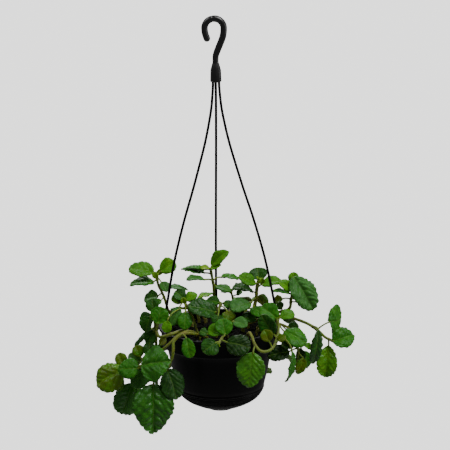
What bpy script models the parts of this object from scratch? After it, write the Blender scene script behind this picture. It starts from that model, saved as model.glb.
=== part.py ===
"""Hanging basket of a trailing Plectranthus with thick, scalloped leaves.

Frame: +Z up, origin at the inside top of the hook's bend, where the basket hangs.
The front is at -Y. Sizes below are in millimetres; the meshes are in metres.
"""
import math
import random

import bmesh
import bpy
from mathutils import Vector
from mathutils.bvhtree import BVHTree

MM = 0.001
GAP = 0.3

# Hanger
HANG_DROP = 378.0
AXIS_X = 1.2
HOOK_ROD_R = 4.1
HOOK_BEND_R = 11.6
NECK_R = 3.75
COLLAR_BOTTOM = 305.4
COLLAR_R = 7.0
SOCKET_DEPTH = 11.0
STRAND_R = 1.5
STRAND_RING_R = 4.2
EAR_AZIMUTHS = {"right": -27.0, "back": 93.0, "left": 213.0}
EAR_HOLE_R = 2.4
EAR_OUTER_R = 4.6
CLIP_R = 1.9
CLIP_TOP = 32.0
BARB_R = 2.9
BARB_LENGTH = 6.5
EAR_REACH = 76.8

# Pot and saucer
LIP_R = 76.0
LIP_THICK = 3.2
BAND_R = 73.0
BAND_DEPTH = 22.5
TURN_STEPS = 24
WALL = 1.6
POT_STEP_Z = -77.0
POT_BASE_Z = -84.4
DRAIN_RING_R = 32.0
DRAIN_R = 4.0
DRAINS = 5
SAUCER_TOP_Z = POT_STEP_Z - GAP
SAUCER_TOP_R = 55.0
FOOT_R = 16.5
FOOT_Z = -107.8

# Soil
SOIL_EDGE_Z = -10.0
SOIL_RISE = 3.5
ROOT_DEPTH = 20.0
ROOT_TOP_Z = -3.0
HOLE_CLEARANCE = 0.75

# Blades: the scallop's depth and its notch as parts of the width, the egg shape, the midrib's arch
BLADE_THICK = 0.9
SCALLOP = 0.085
NOTCH = 0.034
EGG_WIDTH = 0.94
EGG_TAPER = 0.2
BLADE_CUP = 0.9
BLADE_ARCH = 0.28

# Stalks and stems
STALK_R = 1.05
STALK_TUCK = 1.2
STALK_SINK = 0.4
STALK_MIN = 6.0
STALK_SEARCH = 0.24
STALK_STRAIGHT = 1.35
LONG_STALK = 20.0
STEM_TAPER = 0.35
STEM_SIDES = 5
FLAT_ANGLE = 0.004

# Clearing the leaves: extra thickness and radius kept free, and the moves in depth that are tried
LEAF_ROOM = 1.0
STALK_ROOM = 0.45
DEPTH_SHIFTS = (0, -2, 2, -4, 4, -6, 6, -9, 9, -12, 12, -15, 15, -19, 19)
CROSSING_COST = 13

# Leafy stems: radius, points along the stem, then the leaves.
# A leaf is: place along the stem 0 to 1, blade base, blade tip, width,
# direction its upper face looks, rise of its sides towards that face.
# Points are in mm from the middle of the rim's top: right, back, up.
SHOOTS = {
    "top_left": (1.9, [(-39, -14, -3), (-54, -14, 9), (-63, -15, 24), (-68, -15, 41), (-75, -13, 57),
                       (-76, -12, 67)], [
        (0.93, (-80, -11, 71), (-111, -6, 76), 25, (-0.2, -0.5, 0.9), 0.15),
        (0.93, (-72, -13, 73), (-53, -8, 83), 20, (0.1, -0.8, 0.6), 0.30),
        (0.80, (-80, -14, 60), (-110, -16, 58), 24, (0.0, -0.2, 1.0), 0.10),
        (0.99, (-76, -12, 66), (-79, -12, 75), 8, (-0.3, -0.8, 0.5), 0.40),
        (0.99, (-76, -12, 66), (-72, -13, 74), 8, (0.5, -0.7, 0.5), 0.40),
        (0.74, (-71, -18, 61), (-64, -24, 50), 15, (0.5, -0.7, 0.5), 0.30),
        (0.70, (-64, -12, 52), (-38, -7, 47), 19, (0.1, 0.0, 1.0), 0.15),
        (0.62, (-75, -17, 43), (-93, -14, 37), 21, (-0.1, -0.4, 0.9), 0.20),
        (0.55, (-71, -22, 40), (-79, -24, 36), 10, (-0.2, -0.6, 0.8), 0.30),
    ]),
    "side_left": (1.6, [(-29, -24, -3), (-44, -40, 5), (-57, -52, 4.5), (-72, -53, 1), (-77, -48, 7),
                        (-79, -41, 18), (-80, -36, 28)], [
        (0.97, (-80, -34, 28), (-82, -26, 43), 17, (-0.3, -0.8, 0.5), 0.25),
        (0.90, (-84, -41, 24), (-90, -43, 4), 20, (-0.6, -0.7, 0.4), 0.30),
        (0.88, (-84, -30, 22), (-98, -24, 9), 21, (-0.6, -0.5, 0.6), 0.20),
        (0.62, (-80, -47, 6), (-88, -44, -13), 19, (-0.5, -0.8, 0.4), 0.30),
        (0.86, (-75, -42, 17), (-71, -36, 37), 22, (0.2, -0.9, 0.5), 0.10),
        (0.45, (-66, -54, 0), (-73, -58, -8), 9, (0.3, -0.7, 0.7), 0.30),
    ]),
    "trail_left": (1.9, [(-24, -30, -3), (-38, -48, 6), (-50, -61, 5), (-60, -66, -3), (-70, -65, -12),
                         (-83, -60, -23), (-94, -55, -35), (-108, -48, -42), (-122, -41, -48)], [
        (0.72, (-97, -50, -25), (-103, -44, -12), 15, (-0.2, -0.7, 0.7), 0.25),
        (0.80, (-98, -48, -32), (-112, -40, -24), 15, (-0.3, -0.6, 0.8), 0.20),
        (0.95, (-116, -40, -40), (-126, -33, -25), 15, (-0.3, -0.8, 0.6), 0.25),
        (0.78, (-99, -57, -35), (-125, -54, -36), 26, (-0.1, -0.8, 0.6), -0.12),
        (0.97, (-119, -42, -41), (-153, -36, -61), 37, (-0.2, -0.8, 0.6), -0.12),
        (0.99, (-122, -44, -51), (-127, -47, -69), 17, (-0.3, -0.8, 0.5), 0.35),
        (0.82, (-88, -58, -41), (-109, -60, -58), 27, (-0.2, -0.7, 0.7), -0.15),
        (0.86, (-107, -50, -60), (-122, -46, -101), 33, (-0.2, -0.9, 0.4), 0.15),
        (0.80, (-95, -72, -29), (-60, -84, -20), 44, (0.1, -0.8, 0.6), -0.12),
        (0.70, (-86, -52, -22), (-86, -45, -7), 16, (0.0, -0.8, 0.6), 0.15),
    ]),
    "trail_front_left": (1.5, [(-16, -42, -3), (-32, -58, 6), (-45, -66, 8), (-55, -71, 1), (-56, -75, -8),
                               (-57, -76, -17), (-60, -76, -24), (-65, -77, -34), (-79, -78, -45)], [
        (0.78, (-64, -78, -32), (-53, -82, -69), 30, (0.3, -0.8, 0.4), -0.12),
        (0.99, (-81, -79, -50), (-82, -88, -112), 48, (0.1, -0.9, 0.4), -0.12),
        (0.25, (-40, -78, 7), (-35, -86, -16), 16, (-0.1, -0.9, 0.5), 0.20),
    ]),
    "top_centre": (1.5, [(2, 16, -3), (-4, 14, 13), (-6, 12, 31), (-7, 10, 49), (-10, 8, 69)], [
        (0.98, (-9, 8, 74), (12, 4, 94), 17, (-0.3, -0.8, 0.6), 0.30),
        (0.95, (-10, 4, 71), (3, 0, 77), 11, (0.1, -0.5, 0.8), 0.30),
        (0.97, (-11, 5, 72), (-22, 0, 73), 10, (-0.1, -0.4, 0.9), 0.30),
        (0.93, (-18, 9, 69), (-42, 12, 71), 17, (0.0, 0.0, 1.0), 0.10),
        (0.72, (-18, 12, 64), (-47, 18, 67), 24, (0.0, 0.0, 1.0), 0.10),
        (0.55, (-18, -6, 60), (-40, -12, 62), 19, (0.0, -0.1, 1.0), 0.15),
        (0.68, (-5, 4, 49), (15, -4, 43), 17, (0.1, -0.2, 1.0), 0.15),
        (0.75, (3, 16, 54), (25, 20, 51), 20, (0.0, -0.1, 1.0), 0.12),
    ]),
    "thin_centre": (1.1, [(18, 26, -3), (17, 24, 15), (17, 22, 27), (15, 20, 38)], [
        (0.97, (19, 21, 41), (28, 24, 43), 12, (0.1, -0.6, 0.8), 0.20),
        (0.75, (22, 20, 33), (29, 20, 37), 9, (0.1, -0.4, 0.9), 0.20),
        (0.95, (12, 24, 36), (4, 32, 36), 12, (-0.2, -0.4, 0.9), 0.20),
    ]),
    "top_right_of_centre": (1.7, [(29, -8, -3), (37, -7, 8), (45, -6, 30), (47, -6, 48), (49, -7, 59)], [
        (0.97, (50, -1, 57), (48, 8, 71), 22, (0.1, -0.9, 0.5), 0.10),
        (0.95, (46, -9, 56), (24, -14, 66), 18, (-0.1, -0.6, 0.8), 0.15),
        (0.93, (53, -6, 53), (78, -5, 58), 19, (0.1, -0.4, 0.9), 0.20),
        (0.99, (52, -12, 58), (53, -16, 66), 9, (0.2, -0.7, 0.7), 0.40),
        (0.80, (43, 0, 42), (17, 2, 49), 26, (0.0, -0.1, 1.0), 0.15),
        (0.62, (39, -18, 33), (15, -32, 28), 25, (-0.1, -0.5, 0.9), 0.15),
        (0.55, (42, -14, 26), (56, -32, 17), 21, (0.2, -0.6, 0.8), 0.15),
        (0.70, (47, -2, 34), (62, 2, 25), 16, (0.3, -0.7, 0.7), 0.15),
        (0.66, (41, 6, 29), (21, 12, 22), 17, (0.0, -0.5, 0.8), 0.15),
        (0.50, (46, -21, 12), (27, -24, 16), 15, (0.0, -0.6, 0.8), 0.15),
    ]),
    "top_right": (1.6, [(36, 12, -3), (56, 9, 6), (74, 0, 15), (87, -8, 22), (89, -12, 35), (92, -12, 49)], [
        (0.93, (92, -16, 65), (116, -25, 24), 33, (0.3, -0.85, 0.35), 0.12),
        (0.95, (90, -15, 49), (74, -18, 60), 16, (-0.1, -0.6, 0.8), 0.25),
        (0.86, (88, -17, 44), (67, -24, 49), 20, (0.0, 0.0, 1.0), 0.10),
        (0.99, (92, -15, 47), (98, -18, 54), 11, (-0.2, -0.8, 0.6), 0.40),
        (0.72, (94, -18, 33), (104, -18, 39), 10, (0.1, -0.6, 0.8), 0.20),
        (0.60, (79, -2, 33), (68, 2, 27), 13, (-0.1, -0.6, 0.8), 0.20),
        (0.52, (78, -7, 21), (73, -10, 30), 10, (0.0, -0.8, 0.6), 0.20),
        (0.97, (92, -8, 54), (93, -5, 68), 13, (-0.3, -0.9, 0.3), 0.20),
    ]),
    "front_right": (2.2, [(33, -46, -3), (36, -58, 6), (39, -68, 5), (43, -77, -4), (50, -82, -10),
                          (59, -81, -10), (66, -75, -5), (70, -67, 3), (72, -59, 11), (71, -54, 21)], [
        (0.99, (71, -53, 21), (52, -45, 36), 23, (-0.2, -0.7, 0.7), 0.15),
        (0.98, (74, -54, 24), (92, -50, 27), 16, (0.2, -0.5, 0.8), 0.20),
        (0.84, (66, -64, 5), (51, -62, 30), 21, (-0.4, -0.8, 0.4), 0.20),
        (0.66, (88, -68, -15), (81, -72, -53), 22, (1.0, -0.3, 0.1), 0.10),
        (0.36, (40, -86, -10), (34, -96, -52), 34, (0.0, -0.9, 0.5), -0.12),
        (0.70, (60, -79, 1), (54, -76, 15), 15, (-0.1, -0.9, 0.5), 0.20),
        (0.80, (71, -64, 0), (80, -62, 6), 10, (0.2, -0.6, 0.7), 0.20),
    ]),
    "side_right": (1.9, [(46, -20, -3), (63, -17, 4.5), (79, -21, 4.5), (90, -26, -3), (94, -30, -15),
                         (97, -30, -29), (95, -30, -41)], [
        (0.55, (79, -32, 0), (107, -42, -13), 28, (0.1, -0.6, 0.8), -0.12),
        (0.50, (84, -14, -4), (98, -8, 1), 12, (0.1, -0.6, 0.8), 0.20),
        (0.90, (86, -36, -25), (59, -42, -29), 21, (-0.1, -0.8, 0.6), 0.20),
        (0.70, (91, -38, -14), (76, -44, -15), 16, (-0.1, -0.7, 0.7), 0.20),
        (0.88, (98, -26, -24), (97, -22, -50), 16, (0.6, -0.7, 0.3), 0.20),
        (0.99, (103, -32, -35), (95, -34, -55), 15, (0.5, -0.8, 0.3), 0.20),
        (0.92, (103, -20, -32), (111, -14, -55), 17, (0.8, -0.6, 0.3), 0.20),
        (0.66, (104, -28, -19), (115, -26, -25), 10, (0.1, -0.5, 0.8), 0.20),
    ]),
    "far_right": (1.6, [(48, -4, -3), (66, -6, 9), (81, -6, 12), (94, -6, 8), (110, -8, 2), (123, -9, -7),
                        (131, -9, -15), (138, -9, -19)], [
        (0.72, (137, -8, 4), (154, 18, 0), 40, (0.9, -0.5, 0.05), -0.12),
        (0.98, (140, -13, -20), (169, -4, -14), 27, (0.15, -0.8, 0.6), 0.15),
        (0.98, (136, -6, -27), (132, -14, -66), 25, (-0.1, -0.9, 0.3), 0.40),
        (0.80, (122, -22, 0), (115, -24, -44), 15, (0.3, -0.9, 0.1), 0.08),
    ]),
    "inner_left": (1.8, [(-24, -40, -3), (-28, -38, 5), (-32, -30, 17), (-38, -26, 28), (-43, -24, 38)], [
        (0.90, (-43, -16, 40), (-54, -9, 49), 17, (-0.1, -0.6, 0.8), 0.15),
        (0.95, (-46, -27, 38), (-59, -32, 40), 14, (-0.1, -0.8, 0.6), 0.15),
        (0.97, (-41, -24, 39), (-27, -20, 46), 13, (0.1, -0.6, 0.8), 0.20),
        (0.80, (-32, -15, 34), (-16, -9, 36), 15, (0.1, -0.3, 1.0), 0.15),
        (0.99, (-43, -28, 38), (-44, -30, 46), 7, (-0.1, -0.9, 0.5), 0.40),
        (0.85, (-49, -36, 33), (-60, -46, 13), 15, (0.5, -0.7, 0.5), 0.20),
        (0.75, (-41, -40, 28), (-43, -50, 9), 18, (0.1, -0.8, 0.6), -0.12),
        (0.60, (-63, -58, 23), (-65, -62, 9), 12, (0.1, -0.8, 0.5), 0.20),
    ]),
    "inner_centre": (1.6, [(-4, -30, -3), (-3, -26, 10), (-2, -24, 23), (2, -20, 32)], [
        (0.70, (-4, -32, 25), (-38, -38, 35), 28, (0.0, -0.6, 0.8), 0.12),
        (0.98, (1, -14, 32), (-16, -10, 34), 15, (0.0, -0.6, 0.8), 0.20),
        (0.98, (5, -16, 33), (15, -18, 28), 13, (0.2, -0.6, 0.7), 0.20),
        (0.60, (-1, -34, 25), (-3, -40, 13), 16, (0.0, -0.7, 0.7), 0.20),
        (0.80, (10, -30, 26), (12, -38, 14), 17, (0.1, -0.7, 0.7), 0.20),
    ]),
    "front_centre": (2.0, [(9, -40, -3), (8, -56, 6), (5, -68, 6.5), (3, -76, 5.5), (-1, -84, 1)], [
        (0.98, (-4, -86, 3), (-20, -92, -7), 24, (-0.1, -0.8, 0.6), -0.12),
        (0.85, (8, -86, 2), (37, -93, -3), 28, (0.1, -0.8, 0.6), -0.12),
        (0.66, (5, -67, 11), (-14, -67, 11), 17, (-0.1, -0.7, 0.7), 0.20),
        (0.60, (7, -64, 8), (4, -54, 26), 21, (0.1, -0.8, 0.6), 0.20),
        (0.55, (-14, -58, 4), (-24, -56, 8), 12, (-0.1, -0.6, 0.8), 0.20),
        (0.40, (17, -46, 18), (34, -52, 13), 17, (0.1, -0.6, 0.8), 0.20),
    ]),
    "back_left": (1.5, [(-26, 36, -3), (-29, 39, 6), (-34, 44, 17)], [
        (0.98, (-36, 45, 18), (-58, 52, 20), 22, (-0.2, 0.2, 1.0), 0.15),
        (0.96, (-28, 48, 20), (-9, 57, 26), 20, (0.2, 0.2, 1.0), 0.15),
        (0.75, (-28, 36, 16), (-12, 24, 18), 17, (0.1, -0.2, 1.0), 0.15),
        (0.60, (-42, 40, 10), (-62, 34, 10), 17, (-0.3, 0.1, 0.9), 0.15),
    ]),
    "back_right": (1.5, [(30, 34, -3), (33, 38, 6), (37, 45, 16)], [
        (0.98, (40, 47, 17), (62, 52, 19), 22, (0.2, 0.2, 1.0), 0.15),
        (0.96, (33, 50, 17), (20, 68, 19), 21, (-0.2, 0.4, 0.9), 0.15),
        (0.60, (44, 38, 10), (62, 28, 12), 17, (0.3, 0.0, 0.9), 0.15),
    ]),
}

# Stems that trail over the back, which follow one rule: azimuth and length of the hanging run.
REAR_STEMS = {"rear_1": (45.0, 60.0), "rear_2": (75.0, 86.0),
              "rear_3": (116.0, 72.0), "rear_4": (150.0, 88.0)}
REAR_ROOT_R = 40.0
REAR_OVER_R = 79.0
REAR_PAIRS = 3
REAR_SEED = 7


def frame_point(p):
    """A point in mm from the middle of the rim's top, in the model's frame in metres."""
    return Vector(((p[0] + AXIS_X) * MM, p[1] * MM, (p[2] - HANG_DROP) * MM))


def polar(radius, azimuth, z):
    """A point in mm at a radius and azimuth in degrees about the pot's axis."""
    turn = math.radians(azimuth)
    return Vector((radius * math.cos(turn), radius * math.sin(turn), z))


def clear_scene():
    """Remove every object, so that the script starts from nothing."""
    for obj in list(bpy.data.objects):
        bpy.data.objects.remove(obj, do_unlink=True)


def material(name, colour, roughness, metallic=0.0):
    """A Principled material of one colour."""
    mat = bpy.data.materials.get(name) or bpy.data.materials.new(name)
    mat.use_nodes = True
    shader = mat.node_tree.nodes["Principled BSDF"]
    shader.inputs["Base Color"].default_value = (*colour, 1.0)
    shader.inputs["Roughness"].default_value = roughness
    shader.inputs["Metallic"].default_value = metallic
    mat.diffuse_color = (*colour, 1.0)
    return mat


def object_from(name, points, faces, mat):
    """A new object whose mesh has points in mm from the rim's middle."""
    mesh = bpy.data.meshes.new(name)
    mesh.from_pydata([frame_point(p) for p in points], [], faces)
    mesh.materials.append(mat)
    form = bmesh.new()
    form.from_mesh(mesh)
    bmesh.ops.recalc_face_normals(form, faces=form.faces)
    form.to_mesh(mesh)
    form.free()
    obj = bpy.data.objects.new(name, mesh)
    bpy.context.scene.collection.objects.link(obj)
    return obj


def smooth(obj, angle=35.0):
    """Shade an object smooth, with edges sharper than the angle kept."""
    obj.data.shade_smooth()
    obj.data.set_sharp_from_angle(angle=math.radians(angle))


def curve_through(points, steps):
    """Points along a smooth curve through the given ones, with steps to each span."""
    pts = [Vector(p) for p in points]
    pts = [2 * pts[0] - pts[1]] + pts + [2 * pts[-1] - pts[-2]]
    out = []
    for i in range(1, len(pts) - 2):
        a, b, c, d = pts[i - 1:i + 3]
        for k in range(steps):
            t = k / steps
            out.append(0.5 * (2 * b + (c - a) * t + (2 * a - 5 * b + 4 * c - d) * t ** 2
                              + (3 * b - a - 3 * c + d) * t ** 3))
    out.append(pts[-2].copy())
    return out


def along_curve(line, place):
    """The point a given part, 0 to 1, of the way along a line of points."""
    lengths = [(b - a).length for a, b in zip(line, line[1:])]
    left = place * sum(lengths)
    for start, end, length in zip(line, line[1:], lengths):
        if left <= length:
            return start.lerp(end, left / length)
        left -= length
    return line[-1].copy()


def sweep(line, radii, sides):
    """Points and faces of a closed tube of the given radii along a line."""
    points, faces = [], []
    side = None
    for i, centre in enumerate(line):
        before = line[max(i - 1, 0)]
        after = line[min(i + 1, len(line) - 1)]
        along = (after - before).normalized()
        if side is None:
            side = along.orthogonal().normalized()
        side = (side - along * side.dot(along)).normalized()
        up = along.cross(side)
        for k in range(sides):
            turn = 2 * math.pi * k / sides
            points.append(centre + radii[i] * (math.cos(turn) * side + math.sin(turn) * up))
    for i in range(len(line) - 1):
        for k in range(sides):
            a = i * sides + k
            b = i * sides + (k + 1) % sides
            faces.append((a, b, b + sides, a + sides))
    faces.append(tuple(range(sides - 1, -1, -1)))
    last = (len(line) - 1) * sides
    faces.append(tuple(range(last, last + sides)))
    return points, faces


def turned(profile, steps):
    """Points and faces of a closed ring or solid turned about the pot's axis.

    The profile lists (radius, z) round the section, anticlockwise with +radius to the right;
    a point at radius 0 is shared by every step.
    """
    points, index = [], []
    for radius, z in profile:
        row = []
        for k in range(steps):
            if radius > 0 or k == 0:
                points.append(polar(radius, 360.0 * k / steps, z))
            row.append(len(points) - 1)
        index.append(row)
    faces = []
    count = len(profile)
    for i in range(count):
        low, high = index[i], index[(i + 1) % count]
        if profile[i][0] == 0 and profile[(i + 1) % count][0] == 0:
            continue
        for k in range(steps):
            n = (k + 1) % steps
            corners = [low[k], low[n], high[n], high[k]]
            faces.append(tuple(dict.fromkeys(corners)))
    return points, faces


def cylinder(name, centre, radius, z_low, z_high, sides, mat):
    """An upright cylinder at centre (x, y) in mm."""
    line = [Vector((centre[0], centre[1], z_low)), Vector((centre[0], centre[1], z_high))]
    points, faces = sweep(line, [radius, radius], sides)
    return object_from(name, points, faces, mat)


def combine(obj, others, operation):
    """Apply a Boolean of one object with a collection of others, which are then removed."""
    group = bpy.data.collections.new("group")
    bpy.context.scene.collection.children.link(group)
    for other in others:
        group.objects.link(other)
    boolean = obj.modifiers.new("combine", "BOOLEAN")
    boolean.operation = operation
    boolean.operand_type = "COLLECTION"
    boolean.collection = group
    boolean.solver = "EXACT"
    evaluated = obj.evaluated_get(bpy.context.evaluated_depsgraph_get())
    mesh = bpy.data.meshes.new_from_object(evaluated)
    obj.modifiers.clear()
    obj.data = mesh
    for other in others:
        bpy.data.objects.remove(other, do_unlink=True)
    bpy.data.collections.remove(group)


def triangulated(obj):
    """The mesh of an object split into triangles, with tiny edges closed up."""
    form = bmesh.new()
    form.from_mesh(obj.data)
    bmesh.ops.remove_doubles(form, verts=form.verts, dist=0.0000005)
    bmesh.ops.dissolve_limit(form, angle_limit=FLAT_ANGLE, verts=form.verts, edges=form.edges)
    bmesh.ops.triangulate(form, faces=form.faces)
    form.to_mesh(obj.data)
    form.free()


def hook_route():
    """The middle line of the hook's rod, from the neck round the bend to the free end."""
    line = [Vector((AXIS_X, 0, -52)), Vector((1.1, 0, -46)), Vector((1.6, 0, -40)), Vector((4.4, 0, -32.5)),
            Vector((9.4, 0, -20.5)), Vector((11.0, 0, -14.5))]
    for step in range(11):
        turn = math.radians(-5 + 192 * step / 10)
        rise = HOOK_ROD_R - HOOK_BEND_R + HOOK_BEND_R * math.sin(turn)
        line.append(Vector((HOOK_BEND_R * math.cos(turn), 0, rise)))
    line += [Vector((-10.8, 0, -14.0)), Vector((-8.9, 0, -19.8))]
    return [p + Vector((-AXIS_X, 0, HANG_DROP)) for p in line]


def make_hook(mat):
    """The hook's round rod, its end domed, with the faceted collar that holds the strands."""
    line = hook_route()
    radii = [NECK_R, NECK_R] + [HOOK_ROD_R] * (len(line) - 2)
    end = line[-1]
    onward = (end - line[-2]).normalized()
    for turn in (30, 60, 82):
        line.append(end + onward * HOOK_ROD_R * math.sin(math.radians(turn)))
        radii.append(HOOK_ROD_R * math.cos(math.radians(turn)))
    points, faces = sweep(line, radii, 8)
    hook = object_from("hook", points, faces, mat)
    collar_line = [Vector((0, 0, COLLAR_BOTTOM + h)) for h in (0.0, 1.0, 14.5, 22.0, 25.0)]
    points, faces = sweep(collar_line, [COLLAR_R - 0.9, COLLAR_R, COLLAR_R - 0.4, 4.6, 3.3], 8)
    collar = object_from("collar", points, faces, mat)
    combine(hook, [collar], "UNION")
    sockets = []
    for azimuth in EAR_AZIMUTHS.values():
        centre = polar(STRAND_RING_R, azimuth, 0)
        sockets.append(cylinder("socket", centre, STRAND_R + GAP, COLLAR_BOTTOM - 1,
                                COLLAR_BOTTOM + SOCKET_DEPTH, 8, mat))
    combine(hook, sockets, "DIFFERENCE")
    return hook


def strand_line(azimuth):
    """The strand's middle line and radii, from its socket down to the barb under its ear."""
    bow = [(STRAND_RING_R, COLLAR_BOTTOM + SOCKET_DEPTH - GAP), (STRAND_RING_R, COLLAR_BOTTOM), (4.9, 294),
           (7.2, 274), (11.2, 255), (16.0, 236), (22, 216.5), (35, 178), (48.8, 140), (61.2, 101), (68.6, 72),
           (74.2, 46), (EAR_REACH, CLIP_TOP + 2)]
    line = [polar(radius, azimuth, z) for radius, z in bow]
    radii = [STRAND_R] * len(line)
    under = -LIP_THICK - GAP
    clip = [(CLIP_TOP, CLIP_R), (under, CLIP_R), (under - 0.2, BARB_R), (under - 1.6, BARB_R),
            (under - BARB_LENGTH, 0.9)]
    for z, radius in clip:
        line.append(polar(EAR_REACH, azimuth, z))
        radii.append(radius)
    return line, radii


def make_strand(side, mat):
    """One thin strand with its clip, hung in the collar and held in its ear by a barb."""
    line, radii = strand_line(EAR_AZIMUTHS[side])
    points, faces = sweep(line, radii, 6)
    return object_from("strand_" + side, points, faces, mat)


def make_pot(mat):
    """The tapered pot with its banded rim, three ears for the strands and holes in its base."""
    band = -BAND_DEPTH
    outer = [(0, POT_BASE_Z), (49.8, POT_BASE_Z), (50.8, POT_BASE_Z + 1.2), (52.4, POT_STEP_Z),
             (55.1, POT_STEP_Z), (56.3, -72), (59.5, -58.9), (62.9, -41.6), (66.7, band - 0.6),
             (72.3, band), (BAND_R, -LIP_THICK - 0.4), (LIP_R - 0.5, -LIP_THICK), (LIP_R, -1.6),
             (LIP_R - 0.9, 0)]
    inner = [(BAND_R - WALL - 0.6, 0), (BAND_R - WALL - 1.0, -1), (BAND_R - WALL - 1.2, band + 4.5),
             (65.2, band + 0.8), (62.9 - WALL, -41.6), (56.3 - WALL, -72), (50.9, POT_STEP_Z),
             (49.5, POT_BASE_Z + WALL), (0, POT_BASE_Z + WALL)]
    points, faces = turned(outer + inner, TURN_STEPS)
    pot = object_from("pot", points, faces, mat)
    ears, holes = [], []
    for azimuth in EAR_AZIMUTHS.values():
        centre = polar(EAR_REACH, azimuth, 0)
        ears.append(cylinder("ear", centre, EAR_OUTER_R, -LIP_THICK + 0.15, -0.15, 10, mat))
        holes.append(cylinder("hole", centre, EAR_HOLE_R, -LIP_THICK - 2, 2, 8, mat))
    for k in range(DRAINS):
        centre = polar(DRAIN_RING_R, 360.0 * k / DRAINS, 0)
        holes.append(cylinder("drain", centre, DRAIN_R, POT_BASE_Z - 1, POT_BASE_Z + WALL + 1, 8, mat))
    combine(pot, ears, "UNION")
    combine(pot, holes, "DIFFERENCE")
    return pot


def make_saucer(mat):
    """The saucer clipped round the pot's base, stepped in rings down to its small foot."""
    outer = [(0, FOOT_Z), (FOOT_R - 0.7, FOOT_Z), (FOOT_R, FOOT_Z + 1), (20, -105.2), (29, -101.8),
             (38.5, -97.2), (46, -92.4), (50.8, -87.6), (53.9, -82.6), (SAUCER_TOP_R + 0.3, -79.2),
             (SAUCER_TOP_R, SAUCER_TOP_Z)]
    shelf = POT_BASE_Z - GAP
    inner = [(52.8, SAUCER_TOP_Z), (51.5, shelf), (47, shelf), (45.3, -90.4), (34, -97.5), (17, -104.2),
             (0, -104.9)]
    points, faces = turned(outer + inner, TURN_STEPS)
    return object_from("saucer", points, faces, mat)


def soil_height(point):
    """Height of the soil's lumpy top at a point."""
    radius = math.hypot(point.x, point.y)
    mound = SOIL_RISE * (1 - (radius / 70.0) ** 2)
    lumps = 1.1 * math.sin(point.x / 7.0) * math.cos(point.y / 8.0)
    return SOIL_EDGE_Z + mound + lumps


def make_soil(mat):
    """The soil that fills the pot, with a plain hole where each stem stands."""
    room = WALL + 0.5
    profile = [(0, POT_BASE_Z + WALL + GAP), (49.0, POT_BASE_Z + WALL + GAP), (50.3, POT_STEP_Z),
               (56.3 - room, -72), (62.9 - room, -41.6), (64.6, -21.3), (BAND_R - room - 1.4, -17.8),
               (BAND_R - room - 1.4, 1), (40, 1), (0, 1)]
    points, faces = turned(profile, TURN_STEPS)
    points = [Vector((p.x, p.y, soil_height(p))) if p.z > 0 else p for p in points]
    soil = object_from("soil", points, faces, mat)
    holes = []
    for radius, route, _ in all_shoots().values():
        bottom = ROOT_TOP_Z - ROOT_DEPTH - GAP
        holes.append(cylinder("root_hole", route[0], radius + HOLE_CLEARANCE, bottom, 4, 6, mat))
    combine(soil, holes, "DIFFERENCE")
    return soil


def scallops(width):
    """Number of scallops round a blade, and the places of the points along its midrib."""
    if width < 18:
        return 5, (0.5,)
    if width < 34:
        return 7, (0.5,)
    return 9, (0.33, 0.7)


def leaf_shape(leaf, start, shift, thick=BLADE_THICK, radius=STALK_R):
    """Points and faces of one leaf: a scalloped blade and its stalk in one closed solid.

    The blade is moved shift mm in depth; the stalk still reaches it from start, inside the stem.
    """
    _, base, tip, width, facing, rise = leaf
    base, tip = Vector(base) + Vector((0, shift, 0)), Vector(tip) + Vector((0, shift, 0))
    axis = tip - base
    length = axis.length
    axis = axis / length
    up = Vector(facing)
    up = (up - axis * up.dot(axis)).normalized()
    side = up.cross(axis)
    teeth, ribs = scallops(width)
    count = 2 * teeth
    flat = []
    for k in range(count):
        turn = 2 * math.pi * k / count
        reach = 0.5 * (1 + SCALLOP if k % 2 else 1 - NOTCH)
        if k in (0, teeth):
            reach = 0.5
        breadth = EGG_WIDTH + EGG_TAPER * math.cos(turn)
        flat.append((0.5 - reach * math.cos(turn), reach * math.sin(turn) * breadth))
    flat += [(rib, 0.0) for rib in ribs]
    middle = []
    for u, v in flat:
        lift = rise * abs(v) * width * BLADE_CUP + BLADE_ARCH * length * u * (1 - u)
        middle.append(base + axis * (u * length) + side * (v * width) + up * lift)
    left = list(range(1, teeth))
    right = list(range(count - 1, teeth, -1))
    chain = [0] + list(range(count, count + len(ribs))) + [teeth]
    tops = strip(left, chain, flat, False) + strip(right, chain, flat, True)
    total = len(middle)
    points = [p + up * (thick / 2) for p in middle] + [p - up * (thick / 2) for p in middle]
    faces = [tuple(face) for face in tops]
    faces += [tuple(v + total for v in reversed(face)) for face in tops]
    for k in range(1, count - 1):
        faces.append((k + 1, k, k + total))
        faces.append((k + 1, k + total, k + 1 + total))
    add_stalk(points, faces, start, base, (axis, side, up), (total, count), radius)
    return points, faces


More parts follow.
